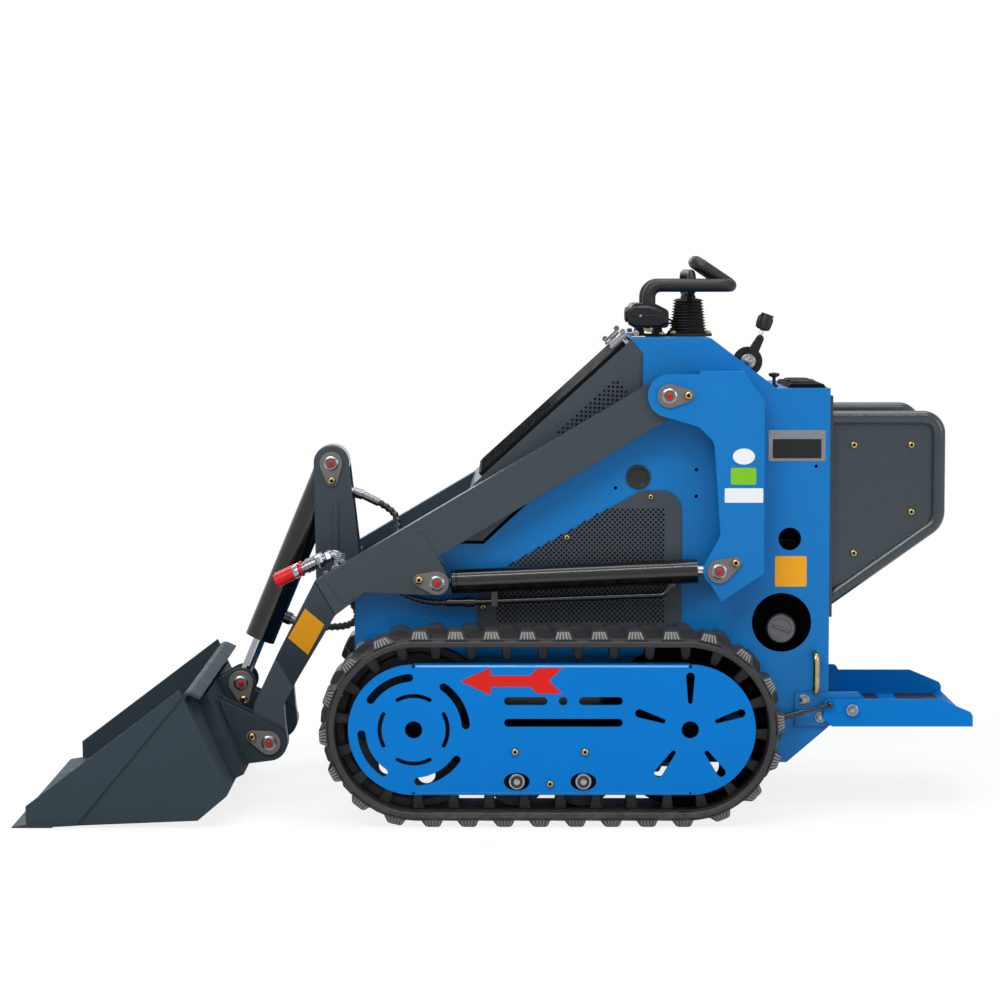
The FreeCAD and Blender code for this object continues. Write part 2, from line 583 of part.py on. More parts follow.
# ---------------------------------------------------------------- boom
def lift_arm():
    """Box arm: a raked main beam, an elbow, and a lower leg that steps in to the hitch."""
    ax, az = BOOM_PIVOT
    half = BEAM_DEPTH / 2
    up = (math.sin(BOOM_RAKE) * half, math.cos(BOOM_RAKE) * half)
    px, pz = BUCKET_PIVOT
    gx, gz = LIFT_HEAD
    outline = rounded([
        (ax + up[0], az + up[1]), (372, 472), (451, 319), (503, 209), (px + 36, pz + 10),
        (px, pz - 30), (px - 37, pz), (438, 163), (442, 208), (413, 262), (331, 403, 20),
        (270, 449, 10), (gx, gz - 25), (gx - 20, gz + 15), (gx - 2, gz + 53, 3),
        (ax - up[0], az - up[1]),
    ])
    lobes = [rod(BOOM_PIVOT, half, TOE_Y[0], ARM_Y[1]), rod(LIFT_HEAD, 25, TOE_Y[0], ARM_Y[1]),
             rod(BUCKET_PIVOT, 37, TOE_Y[0], ARM_Y[1])]
    side = joined([slab(outline, TOE_Y[0], ARM_Y[1])] + lobes)
    top, foot = (V(x, 0, z) for x, z in LEG_FOLDS)
    down = (foot - top).normalize()
    across = V(math.cos(FOLD_RAKE), 0, math.sin(FOLD_RAKE))
    plan = [at + V(0, y, 0) for at, y in (
        (top - down * 1400, ARM_Y[1]), (top, ARM_Y[1]), (foot, TOE_Y[1]), (foot + down * 400, TOE_Y[1]),
        (foot + down * 400, TOE_Y[0]), (foot, TOE_Y[0]), (top, ARM_Y[0]), (top - down * 1400, ARM_Y[0]))]
    stepped = Part.Face(Part.makePolygon(plan + plan[:1]))
    stepped.translate(across * -800)
    arm = side.common(stepped.extrude(across * 1600))
    clevis = rod(LIFT_HEAD, 34, LIFT_EYE_Y[0] - 2, LIFT_EYE_Y[1] + 2)
    arm = arm.cut(clevis).cut(rod(BOOM_PIVOT, PIN_R + PIN_GAP, TOE_Y[0], ARM_Y[1]))
    arm = arm.cut(rod(BUCKET_PIVOT, PIN_R + PIN_GAP, TOE_Y[0] - 1, TOE_Y[1] + 1))
    pin = rod(LIFT_HEAD, PIN_R, ARM_Y[0], ARM_Y[1] + 5)
    return joined([arm, pin])


def boom_crossmember():
    """Box beam between the two elbows."""
    return slab(rounded([(362, 462), (296, 501), (283, 470), (334, 410)]), -ARM_Y[0], ARM_Y[0])


def tilt_bracket():
    """Two cheeks on the cross member that hold the tilt cylinder's pin."""
    cheek = slab(wrap([(378, 456, 4), (*TILT_HEAD, 36), (296, 505, 4)]), 42, 50)
    base = boom_crossmember()
    pin = rod(TILT_HEAD, PIN_R, -55, 55)
    return joined([cheek.cut(base), mirrored(cheek).cut(base), pin])


COUPLER_Y = (196.0, 146.0)       # the left coupler and the right one
COUPLER_RISER = (338.0, 518.0)   # top of each riser from the cross member
COUPLER_NOSE = (456.0, 463.5)


def coupler_line(distance, y):
    """Point along a coupler's axis, from the top of its riser."""
    x, z = along(COUPLER_RISER, COUPLER_NOSE, distance)
    return V(x, y, z)


def quick_coupler(y):
    """Riser, elbow and self-sealing coupler for an attachment's hose."""
    riser = pipe([V(COUPLER_RISER[0] - 10, y, 470), V(COUPLER_RISER[0] - 10, y, COUPLER_RISER[1] + 4),
                  coupler_line(46, y)], 9, 12)
    nut = bar(V(COUPLER_RISER[0] - 10, y, 490), V(COUPLER_RISER[0] - 10, y, 508), 13)
    steps = [bar(coupler_line(38, y), coupler_line(62, y), 12.5), bar(coupler_line(62, y), coupler_line(76, y), 10),
             bar(coupler_line(76, y), coupler_line(90, y), 11.5)]
    return joined([riser, nut] + steps).cut(boom_crossmember())


def coupler_cap(y):
    """Dust cap on a coupler, with the ring that ties it to the neck."""
    cap = bar(coupler_line(90, y), coupler_line(130, y), 13.5)
    ring = bar(coupler_line(70, y), coupler_line(75, y), 14)
    tie = bar(coupler_line(72, y) + V(3, 0, 11), coupler_line(94, y) + V(3, 0, 11), 2.2)
    neck = joined([bar(coupler_line(38, y), coupler_line(62, y), 12.5),
                   bar(coupler_line(62, y), coupler_line(76, y), 10),
                   bar(coupler_line(76, y), coupler_line(90, y), 11.5)])
    return joined([cap, ring, tie]).cut(neck)


def lift_pipe():
    """Steel pipe along the lift cylinder to its rod-end port, with nut, ferrule and clip."""
    y = LIFT_Y
    run = pipe([V(60, y, 427.5), V(-330, y, 442), V(-352, y, 478)], 6, 14)
    nut = bar(V(51, y, 427.6), V(71, y, 427.4), 10)
    ferrule = bar(V(71, y, 427.4), V(107, y, 427.2), 8.5)
    clip = block(5, 17, y - 10, y + 10, 421, 456)
    port = bar(V(-343, y, 462), V(-356, y, 486), 11)
    way = V(LIFT_FOOT[0] - LIFT_HEAD[0], 0, LIFT_FOOT[1] - LIFT_HEAD[1]).normalize()
    tube = Part.makeCylinder(LIFT_TUBE_R, 560, V(LIFT_HEAD[0], y, LIFT_HEAD[1]), way)
    return joined([run, nut, ferrule, clip, port]).cut(tube)


def tilt_ports():
    """Port block near the rod end of the tilt cylinder and elbow at its other end."""
    way = V(TILT_FOOT[0] - TILT_HEAD[0], 0, TILT_FOOT[1] - TILT_HEAD[1]).normalize()
    start, out = V(TILT_HEAD[0], 0, TILT_HEAD[1]) + way * 338, V(way.z, 0, -way.x)
    low = joined([bar(start, start + out * 48, 12), bar(start + out * 48, start + out * 60, 9)])
    elbow = bar(V(338, 0, 640), V(306, 0, 632), 9)
    nut = bar(V(306, 0, 632), V(286, 0, 626), 10.5)
    ferrule = bar(V(286, 0, 626), V(253, 0, 610), 8.5)
    tube = Part.makeCylinder(TILT_TUBE_R, 420, V(TILT_HEAD[0], 0, TILT_HEAD[1]), way)
    return [joined([elbow, nut, ferrule]).cut(tube), low.cut(tube)]


# ---------------------------------------------------------------- cylinders
def barrel(head, foot, tube_r, tube_start, tube_end, eye_r, eye_y, rod_r, y):
    """Cylinder tube with its eye at head, bored for the rod, along the line to foot."""
    direction = V(foot[0] - head[0], 0, foot[1] - head[1]).normalize()
    origin = V(head[0], y, head[1])
    tube = Part.makeCylinder(tube_r, tube_end - tube_start, origin + direction * tube_start, direction)
    gland = Part.makeCylinder(tube_r, 18, origin + direction * (tube_end - 18), direction)
    neck_r = min(eye_y, tube_r * 0.8)
    neck = Part.makeCylinder(neck_r, tube_start, origin, direction)
    eye = rod(head, eye_r, y - eye_y, y + eye_y)
    room = Part.makeCylinder(rod_r + 8, tube_end - tube_start - 60, origin + direction * (tube_start + 30),
                             direction)
    hole = Part.makeCylinder(rod_r + PIN_GAP, 60, origin + direction * (tube_end - 40), direction)
    body = joined([tube, gland, neck, eye]).cut(room).cut(hole)
    return body.cut(rod(head, PIN_R + PIN_GAP, y - eye_y - 1, y + eye_y + 1))


def ram(head, foot, rod_r, rod_start, eye_r, eye_y, y):
    """Cylinder rod with its piston inside the tube and its eye at foot."""
    direction = V(foot[0] - head[0], 0, foot[1] - head[1]).normalize()
    length = math.hypot(foot[0] - head[0], foot[1] - head[1])
    origin = V(head[0], y, head[1])
    shaft = Part.makeCylinder(rod_r, length - rod_start, origin + direction * rod_start, direction)
    piston = Part.makeCylinder(rod_r + 5, 20, origin + direction * rod_start, direction)
    eye = rod(foot, eye_r, y - eye_y, y + eye_y)
    return joined([shaft, piston, eye]).cut(rod(foot, PIN_R + PIN_GAP, y - eye_y - 1, y + eye_y + 1))


# ---------------------------------------------------------------- bucket and hitch
BUCKET_FLANGE = (590.0, 253.0)   # free edge of the lip folded back from the crown
BUCKET_CROWN = (628.0, 270.0)
BUCKET_HEEL = (531.0, 68.0)
BUCKET_TOE = (595.0, 14.0)
SIDE_TOP = (630.0, 272.5)         # upper corner of the bucket's side
SIDE_TIP = (933.0, 43.0)
EDGE_ROOT = (881.0, 2.5)         # where the floor meets the cutting edge
EDGE_TOP = (881.0, 15.0)
EDGE_TIP = (961.0, 2.0)


def bucket_shell():
    """Floor and back from one folded plate, with a side plate at each end."""
    inside, face = BUCKET_Y - SIDE_DOUBLER - BUCKET_SIDE, BUCKET_Y - SIDE_DOUBLER
    sheet = slab(folded([BUCKET_FLANGE, BUCKET_CROWN, BUCKET_HEEL, BUCKET_TOE, EDGE_ROOT], BUCKET_SHELL, 8),
                 -inside, inside)
    toe_front = along(EDGE_TOP, EDGE_TIP, 52)
    side = slab(rounded([toe_front, SIDE_TIP, SIDE_TOP, BUCKET_CROWN, (*BUCKET_HEEL, 14),
                         BUCKET_TOE, EDGE_ROOT, EDGE_TOP]), inside, face)
    doubler = slab(rounded([toe_front, SIDE_TIP, SIDE_TOP, (623, 260), (835, 4.8), EDGE_ROOT, EDGE_TOP]),
                   face, BUCKET_Y)
    return joined([sheet, side, mirrored(side), doubler, mirrored(doubler)]).cut(cutting_edge())


def cutting_edge():
    return slab(rounded([EDGE_TOP, (EDGE_TOP[0], 0.5), (EDGE_TIP[0], 0.5), EDGE_TIP]), -BUCKET_Y, BUCKET_Y)


def hitch_frame():
    """Unit vectors of the bucket's back: along it upward, and out of it to the rear."""
    rise = (BUCKET_CROWN[0] - BUCKET_HEEL[0], BUCKET_CROWN[1] - BUCKET_HEEL[1])
    length = math.hypot(*rise)
    return (rise[0] / length, rise[1] / length), (-rise[1] / length, rise[0] / length)


def hitch_plate():
    """Attachment plate behind the bucket, with ears for the arms and the tilt rod."""
    up, back = hitch_frame()

    def at(height, depth):
        return (BUCKET_HEEL[0] + up[0] * height + back[0] * depth,
                BUCKET_HEEL[1] + up[1] * height + back[1] * depth)

    plate = slab(rounded([at(HITCH_FOOT, 0), at(HITCH_FOOT, HITCH_PLATE), at(HITCH_TOP, HITCH_PLATE),
                          at(HITCH_TOP, 0)]), -HITCH_Y, HITCH_Y)
    corner = (HITCH_TOP - HITCH_FOOT) / 2
    for sign in (1, -1):
        tip = [V(*at3(at(HITCH_TOP + 1, -1), sign * (HITCH_Y + 1))),
               V(*at3(at(HITCH_TOP + 1, -1), sign * (HITCH_Y - 40))),
               V(*at3(at(HITCH_TOP - corner, -1), sign * (HITCH_Y + 1)))]
        wedge = Part.Face(Part.makePolygon(tip + tip[:1]))
        plate = plate.cut(wedge.extrude(V(back[0], 0, back[1]) * (HITCH_PLATE + 2)))
    notch_half = TILT_EAR_Y[0] - 2
    notch = slab(rounded([at(HITCH_TOP - 72, -1), at(HITCH_TOP - 72, HITCH_PLATE + 1),
                          at(HITCH_TOP + 1, HITCH_PLATE + 1), at(HITCH_TOP + 1, -1)]),
                 -notch_half, notch_half)
    pieces = [plate.cut(notch)]
    low, high = TOE_Y[0] - RUN_GAP, TOE_Y[1] + RUN_GAP
    root = HITCH_PLATE - 2
    for y0 in (low - HITCH_EAR, high):
        ear = slab(wrap([(*BUCKET_PIVOT, 37), (*at(HITCH_FOOT + 8, root), 2), (*at(HITCH_TOP - 20, root), 2)]),
                   y0, y0 + HITCH_EAR)
        pieces += [ear, mirrored(ear)]
    toe_pin = rod(BUCKET_PIVOT, PIN_R, low - HITCH_EAR - 2, high + HITCH_EAR + 5)
    tilt_ear = slab(wrap([(*TILT_FOOT, 31), (*at(HITCH_TOP - 100, root), 2), (*at(HITCH_TOP - 2, root), 2)]),
                    *TILT_EAR_Y)
    tilt_stub = rod(TILT_FOOT, PIN_R, TILT_EYE_Y + 3, TILT_EAR_Y[1] + 5)
    for piece in (toe_pin, tilt_ear, tilt_stub):
        pieces += [piece, mirrored(piece)]
    return joined(pieces)


def at3(point, y):
    """An XZ point as an (x, y, z) triple."""
    return point[0], y, point[1]


# ---------------------------------------------------------------- platform, guards
def operator_platform():
    """Fold-up tray that the operator stands on, with a side rail along each edge."""
    px, pz = PLATFORM_PIVOT
    rail = slab(rounded([(-654, 229, 12), (-889, 229, 12), (-953, 202, 8), (-957, 194),
                         (-957, PLATFORM_FLOOR), (-672, PLATFORM_FLOOR), (-654, 188, 4)]),
                PLATFORM_Y - RAIL, PLATFORM_Y)
    rail = rail.cut(rod(PLATFORM_PIVOT, 10 + PIN_GAP, PLATFORM_Y - RAIL - 1, PLATFORM_Y + 1))
    tread = folded([(px + 31, PLATFORM_FLOOR), (-945, PLATFORM_FLOOR), (-957, PLATFORM_FLOOR + 8)][::-1], RAIL, 4)
    floor = slab(tread, -PLATFORM_Y + RAIL, PLATFORM_Y - RAIL)
    return joined([rail, mirrored(rail), floor])


def platform_bracket():
    """Ear bolted to the body side; the platform turns on its pin."""
    px, pz = PLATFORM_PIVOT
    plate = slab(rounded([(-598, 242, 4), (px - 14, 242, 8), (px - 22, 228), (px - 22, pz),
                          (px - 10, pz - 21, 6), (px + 34, pz - 21), (px + 44, PLATFORM_FLOOR), (-598, PLATFORM_FLOOR)]),
                 BODY_Y, BODY_Y + 7)
    pin = rod(PLATFORM_PIVOT, 10, BODY_Y + 7, PLATFORM_Y + 6)
    return joined([plate, pin])


def pipe(points, radius, bends):
    """Round tube swept along straight runs joined by tangent arcs."""
    spans = []
    for i, here in enumerate(points):
        if i in (0, len(points) - 1):
            spans.append((here, None, here))
            continue
        back = (points[i - 1] - here).normalize()
        ahead = (points[i + 1] - here).normalize()
        half = back.getAngle(ahead) / 2
        inward = (back + ahead).normalize()
        bend = bends[i - 1] if isinstance(bends, (list, tuple)) else bends
        reach = bend / math.tan(half)
        middle = here + inward * (bend / math.sin(half) - bend)
        spans.append((here + back * reach, middle, here + ahead * reach))
    edges = []
    for i, (start, middle, end) in enumerate(spans):
        if middle:
            edges.append(Part.Arc(start, middle, end).toShape())
        if i + 1 < len(spans):
            edges.append(Part.LineSegment(end, spans[i + 1][0]).toShape())
    spine = Part.Wire(edges)
    ring = Part.Wire(Part.makeCircle(radius, points[0], points[1] - points[0]))
    return spine.makePipeShell([ring], True, False)


def hip_guard():
    """Tube loop and flat panel beside the operator's hips."""
    y = HIP_Y
    rear = BODY_REAR - 6
    loop = pipe([V(rear, y, 797), V(-887, y, 797), V(-887, y, 586), V(rear + 30, y, 412)],
                GUARD_TUBE_R, [32, 40])
    panel = slab(rounded([(rear, 797), (-887, 797, 32), (-887, 586, 40), (rear, 433)]), y - 2, y + 2)
    body = block(rear, rear + 80, y - 30, y + 30, 380, 860)
    return joined([loop, panel]).cut(body)


def grab_handle():
    x, top, foot, reach = -637.5, 320.0, 244.0, BODY_Y + 32
    bow = pipe([V(x, BODY_Y, top), V(x, reach, top), V(x, reach, foot), V(x, BODY_Y, foot)], 6.5, 12)
    return bow.cut(platform_bracket())


# ---------------------------------------------------------------- controls
POD_TOP = 1026.0
BOOT_TOP = 1034.0
REST_Z = 1063.0
REST_FRONT = -306.0
REST_HALF = 78.0
REST_R = 13.5


def hand_rest():
    """Padded ring round the lever that the operator steadies the hands on, with a raised hoop."""
    front, back, hoop_x, hoop_z = REST_FRONT, -474.0, -406.0, REST_Z + 47
    half = REST_HALF
    ring = pipe([V(front, half, POD_TOP - 20), V(front, half, REST_Z), V(back, half, REST_Z),
                 V(back, -half, REST_Z), V(front, -half, REST_Z), V(front, -half, POD_TOP - 20)],
                REST_R, 24)
    foot = REST_Z + 1.5
    hoop = pipe([V(back, 44, foot), V(hoop_x, 44, hoop_z), V(hoop_x, -44, hoop_z), V(back, -44, foot)],
                REST_R, 20)
    return joined([ring, hoop])


def control_lever():
    """Lever in the boot, with a closed grip loop set a little askew."""
    x, low, top = -390.0, 1048.0, 1087.0
    grip = pipe([V(x, 0, low), V(x - 6, 47, low), V(x - 6, 47, top), V(x + 6, -47, top),
                 V(x + 6, -47, low), V(x, 0, low)], 8.5, 12)
    shaft = bar(V(x, 0, BOOT_TOP), V(x, 0, low + 4), 9)
    return joined([grip, shaft])


def control_pod():
    """Housing that clamps the hand rest to the console on two short legs."""
    head = slab(rounded([(-268, 990, 10), (-268, POD_TOP, 12), (-318, POD_TOP, 20), (-346, 1012, 12),
                         (-346, 976, 8), (-272, 976, 8)]), -REST_HALF - 20, REST_HALF + 20)
    legs = [slab(rounded([(x, COWL_TOP), (x + 22, COWL_TOP), (x + 18, 980), (x + 4, 980)]), y, y + 16)
            for x in (-300, -338) for y in (-40, 24)]
    foot = block(-345, -272, -46, 46, COWL_TOP, COWL_TOP + 4)
    sockets = [Part.makeCylinder(REST_R + 0.05, 100, V(REST_FRONT, y, POD_TOP - 20))
               for y in (-REST_HALF, REST_HALF)]
    return joined([head, foot] + legs).cut(Part.makeCompound(sockets))


def bellows():
    """Ribbed rubber boot round the drive lever."""
    x, foot, top, ribs = -391.0, COWL_TOP + 6, BOOT_TOP, 13
    step = (top - foot) / ribs
    points = [V(x, 0, foot)]
    for rib in range(ribs):
        share = rib / ribs
        wide = 35 - 8 * share
        z = foot + step * rib
        points += [V(x + wide - 4, 0, z), V(x + wide, 0, z + step * 0.5)]
    points += [V(x + 24, 0, top), V(x, 0, top)]
    face = Part.Face(Part.makePolygon(points + points[:1]))
    boot = face.revolve(V(x, 0, 0), V(0, 0, 1), 360)
    base = block(-438, -350, -52, 52, COWL_TOP, COWL_TOP + 6)
    return joined([boot, base])


def console(y):
    """Room under the console's slope and the level behind it, near y; a cutter."""
    return slab(rounded([(CONSOLE_SLOPE[0], COWL_TOP), (CONSOLE_SLOPE[1], COWL_REAR_TOP),
                         (BODY_REAR, COWL_REAR_TOP), (BODY_REAR, 700), (CONSOLE_SLOPE[0], 700)]), y - 50, y + 50)


def throttle():
    """Throttle quadrant in a slot of the console slope, with its lever and knob."""
    x, z, y = -505.0, 909.0, 130.0
    disc = rod((x, z), 30, y, y + 10)
    hub = rod((x, z), 14, y - 4, y + 16)
    lever = slab(wrap([(x, z, 9), (-527, 951, 4.5)]), y + 10, y + 16)
    stem = bar(V(-524, y + 13, 945), V(-538, y + 13, 985), 4)
    knob = bar(V(-535, y + 13, 976), V(-545, y + 13, 1005), 13)
    return joined([disc, hub, lever, stem, knob]).cut(console(y))


def choke_knob():
    """Pull knob at the foot of the slope."""
    x, y = -558.0, 150.0
    profile = [V(x, y, COWL_REAR_TOP - 5), V(x + 8, y, COWL_REAR_TOP - 5), V(x + 8, y, COWL_REAR_TOP + 5),
               V(x + 3.5, y, COWL_REAR_TOP + 5), V(x + 3.5, y, 876), V(x + 11, y, 880), V(x + 11, y, 885),
               V(x, y, 887)]
    face = Part.Face(Part.makePolygon(profile + profile[:1]))
    return face.revolve(V(x, y, 0), V(0, 0, 1), 360).cut(console(y))


def gauge_panel():
    """Raised instrument frame on the console."""
    return slab(rounded([(-583, COWL_REAR_TOP), (-660, COWL_REAR_TOP), (-655, 865, 3), (-588, 865, 3)]), -90, 195)


# ---------------------------------------------------------------- gas strut
STRUT_ANCHOR = (-478.0, 167.0)
STRUT_BALL = (-668.0, 219.0)
STRUT_Y = PLATFORM_Y + 7


def strut_barrel():
    direction = V(STRUT_BALL[0] - STRUT_ANCHOR[0], 0, STRUT_BALL[1] - STRUT_ANCHOR[1]).normalize()
    origin = V(STRUT_ANCHOR[0], STRUT_Y, STRUT_ANCHOR[1])
    tube = Part.makeCylinder(6.5, 128, origin + direction * 12, direction)
    hole = Part.makeCylinder(4 + PIN_GAP, 100, origin + direction * 45, direction)
    eye = rod(STRUT_ANCHOR, 8, STRUT_Y - 5, STRUT_Y + 5)
    neck = Part.makeCylinder(5, 20, origin, direction)
    pin_hole = rod(STRUT_ANCHOR, 4 + PIN_GAP, STRUT_Y - 7, STRUT_Y + 7)
    return joined([tube, eye, neck]).cut(hole).cut(pin_hole)


def strut_rod():
    direction = V(STRUT_BALL[0] - STRUT_ANCHOR[0], 0, STRUT_BALL[1] - STRUT_ANCHOR[1]).normalize()
    origin = V(STRUT_ANCHOR[0], STRUT_Y, STRUT_ANCHOR[1])
    length = math.hypot(STRUT_BALL[0] - STRUT_ANCHOR[0], STRUT_BALL[1] - STRUT_ANCHOR[1])
    shaft = Part.makeCylinder(4, length - 70, origin + direction * 70, direction)
    ball = Part.makeSphere(STRUT_Y - PLATFORM_Y - 0.5, V(STRUT_BALL[0], STRUT_Y, STRUT_BALL[1]))
    return joined([shaft, ball])


def strut_anchor():
    return rod(STRUT_ANCHOR, 4, BODY_Y, STRUT_Y + 9)


# ---------------------------------------------------------------- build
def main():
    os.makedirs("parts", exist_ok=True)
    save("side_plates", Part.makeCompound([side_plate(True), mirrored(side_plate(False))]))
    save("port_caps", both_sides(port_cap()))
    save("vent_panels", both_sides(vent_panel()))
    save("floor_pan", floor_pan())
    save("front_panel", front_panel())
    save("cowl", cowl())
    save("rear_panel", rear_panel())
    save("engine_block", engine_block())
    save("fuel_tank", fuel_tank())
    save("filler_cap", filler_cap())
    save("hood_shell", hood_shell())
    save("hood_hinges", both_sides(hood_hinge()))
    save("hood_grille", hood_grille())

    save_pair("track", track())
    save("idlers", both_sides(idler()))
    save("sprockets", both_sides(sprocket()))
    save("rollers", Part.makeCompound([both_sides(roller(centre)) for centre in ROLLERS]))
    save("track_frames", both_sides(Part.makeCompound(list(track_frame()))))
    save("track_guards", both_sides(track_guard()))

    save("lift_towers", both_sides(Part.makeCompound(list(tower()))))

    save("lift_arms", both_sides(lift_arm()))
    save("boom_crossmember", boom_crossmember())
    save("tilt_bracket", tilt_bracket())
    save("coupler_caps", Part.makeCompound([coupler_cap(y) for y in COUPLER_Y]))
    save_pair("lift_pipe", lift_pipe())
    save("tilt_ports", Part.makeCompound(tilt_ports()))
    save("quick_couplers", Part.makeCompound([quick_coupler(y) for y in COUPLER_Y]))

    save_pair("lift_barrel", barrel(LIFT_HEAD, LIFT_FOOT, LIFT_TUBE_R, 38, 524, 24, 9, LIFT_ROD_R, LIFT_Y))
    save_pair("lift_rod", ram(LIFT_HEAD, LIFT_FOOT, LIFT_ROD_R, 75, 24, 10, LIFT_Y))
    save("tilt_barrel", barrel(TILT_HEAD, TILT_FOOT, TILT_TUBE_R, 44, 400, 37, 34, TILT_ROD_R, 0))
    save("tilt_rod", ram(TILT_HEAD, TILT_FOOT, TILT_ROD_R, 120, 24, TILT_EYE_Y, 0))

    save("bucket_shell", bucket_shell())
    save("cutting_edge", cutting_edge())
    save("hitch_plate", hitch_plate())

    save("operator_platform", operator_platform())
    save("platform_brackets", both_sides(platform_bracket()))
    save("hip_guards", both_sides(hip_guard()))
    save("grab_handles", both_sides(grab_handle()))
    save("strut_barrel", strut_barrel())
    save("strut_rod", strut_rod())
    save("strut_anchor", strut_anchor())

    save("hand_rest", hand_rest())
    save("control_lever", control_lever())
    save("control_pod", control_pod())
    save("joystick_bellows", bellows())
    save("throttle_lever", throttle())
    save("choke_knob", choke_knob())
    save("gauge_panel", gauge_panel())


main()
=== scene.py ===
"""Looks of a stand-on mini track loader: finishes, small hardware, treads, hoses and studio.

Places and sizes are millimetres in the shared frame (+X forward, +Y left, +Z up); the helpers
that build mesh turn them into metres. Small hardware is gathered into one mesh for each
body and finish.
"""
import json
import math

import bmesh
import bpy
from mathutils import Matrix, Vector
from mathutils.geometry import tessellate_polygon


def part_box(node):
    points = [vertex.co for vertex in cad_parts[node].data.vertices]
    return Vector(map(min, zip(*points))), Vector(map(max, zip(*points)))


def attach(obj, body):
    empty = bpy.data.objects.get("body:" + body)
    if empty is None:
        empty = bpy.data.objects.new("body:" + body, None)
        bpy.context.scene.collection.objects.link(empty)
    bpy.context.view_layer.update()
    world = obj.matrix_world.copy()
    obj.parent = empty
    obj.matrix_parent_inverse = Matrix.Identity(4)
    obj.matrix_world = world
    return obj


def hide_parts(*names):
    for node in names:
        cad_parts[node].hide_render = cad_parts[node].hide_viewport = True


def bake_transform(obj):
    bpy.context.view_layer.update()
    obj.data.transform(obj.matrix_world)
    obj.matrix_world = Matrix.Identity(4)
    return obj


MM = 0.001
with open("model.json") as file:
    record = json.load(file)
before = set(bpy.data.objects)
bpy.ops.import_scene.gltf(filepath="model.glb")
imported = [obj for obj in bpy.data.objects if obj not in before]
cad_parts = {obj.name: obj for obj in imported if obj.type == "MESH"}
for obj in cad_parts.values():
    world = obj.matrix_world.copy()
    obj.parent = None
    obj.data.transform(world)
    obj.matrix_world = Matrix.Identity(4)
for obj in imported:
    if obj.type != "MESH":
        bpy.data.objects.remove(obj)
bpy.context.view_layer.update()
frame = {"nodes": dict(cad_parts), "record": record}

# ---------------------------------------------------------------- places, from the construction
# Half widths: the left side's Y, from the middle of the machine.
SIDE_Y = 224.0                # outside of the body's side plates
VENT_Y = 227.0                # outside of the side vents
TOWER_Y = 290.0               # outside of the lift towers
ARM_Y = 276.0                 # outside of the lift arms
GUARD_Y = 433.0               # outside of the track guards
FOLD_Y = 430.4                # middle of the guards' rounded long edges
AXLE_END_Y = 410.0            # outer ends of the track wheels' axles
EAR_Y = 191.0                 # outside of the hitch ears
CHEEK_Y = 50.0                # outside of the tilt bracket's cheeks
TILT_EAR_Y = 42.0             # outside of the ears at the tilt rod's end
HIP_Y = 202.0                 # outside of the hip guards
BRACKET_Y = 231.0             # outside of the platform's hinge plates
HINGE_PIN_Y = 246.0           # ends of the platform's pivot pins
LIFT_Y = 257.0                # middle of each lift cylinder
TRACK_Y = 350.0               # middle of the left belt

# Levels.
PLATFORM_TOP = 178.0
COWL_TOP = 958.0

# Pins and rollers, as (x, z).
BOOM_PIVOT = (-337.7, 844.4)
LIFT_FOOT = (-438.5, 492.8)
LIFT_HEAD = (126.5, 468.0)
TILT_HEAD = (350.0, 694.8)
TILT_FOOT = (539.7, 236.4)
BUCKET_PIVOT = (471.0, 132.5)
PLATFORM_PIVOT = (-712.3, 207.2)
ROLLERS = ((-164.0, 91.6), (-33.0, 91.6))

# Tracks: an idler in front and a sprocket behind, of the same radius.
TRACK_PITCH = 70.6
TRACK_LINKS = 30
TRACK_MIDDLE_X = -102.0
TRACK_BELOW_PITCH = 25.5      # thickness of belt and shoes below the pitch line
PITCH_R = TRACK_LINKS * TRACK_PITCH / (4 * math.pi)
WHEEL_BASE = TRACK_LINKS * TRACK_PITCH / 4
FRONT_AXLE_X = TRACK_MIDDLE_X + WHEEL_BASE / 2
REAR_AXLE_X = FRONT_AXLE_X - WHEEL_BASE
AXLE_Z = PITCH_R + TRACK_BELOW_PITCH

# Slopes and bases of fittings.
HOOD_FALL = (0.739, -0.673)   # (x, z) direction down the hood's slope
GRILLE_TOP = Vector((-253.3, 0, 951.7))
GRILLE_FOOT = Vector((40.4, 0, 685.6))
LATCH_DOWN = Vector((0.742, 0, -0.67))
LATCH_OUT = Vector((0.67, 0, 0.742))
COUPLER_RISER = (338.0, 518.0)  # top of each quick coupler's riser
COUPLER_FALL = Vector((118, 0, -54.5)).normalized()
FUEL_CAP = (-570.0, 369.0)
LEVER_X = -391.0              # the drive lever stands here, on the middle plane
DIAL_X = -621.0               # the dials' row on the gauge panel


# ---------------------------------------------------------------- finishes
def srgb(red, green, blue):
    """Linear colour from 0-255 display values."""
    def linear(value):
        value /= 255
        return value / 12.92 if value <= 0.04045 else ((value + 0.055) / 1.055) ** 2.4
    return linear(red), linear(green), linear(blue), 1.0


GRIME = srgb(128, 120, 108)


def shade(colour, factor):
    """Colour made lighter or darker by a factor."""
    return tuple(min(1.0, c * factor) for c in colour[:3]) + (1.0,)


def add(tree, kind, sockets=None, **settings):
    """New shader node; a socket value that is itself a socket becomes a link."""
    node = tree.nodes.new("ShaderNode" + kind)
    for key, value in settings.items():
        setattr(node, key, value)
    for key, value in (sockets or {}).items():
        if isinstance(value, bpy.types.NodeSocket):
            tree.links.new(value, node.inputs[key])
        else:
            node.inputs[key].default_value = value
    return node


def ramp(tree, factor, stops):
    """Colour ramp from (position, colour) stops."""
    node = add(tree, "ValToRGB", {"Fac": factor})
    elements = node.color_ramp.elements
    while len(elements) < len(stops):
        elements.new(1.0)
    for element, (position, colour) in zip(elements, stops):
        element.position = position
        element.color = colour
    return node.outputs["Color"]


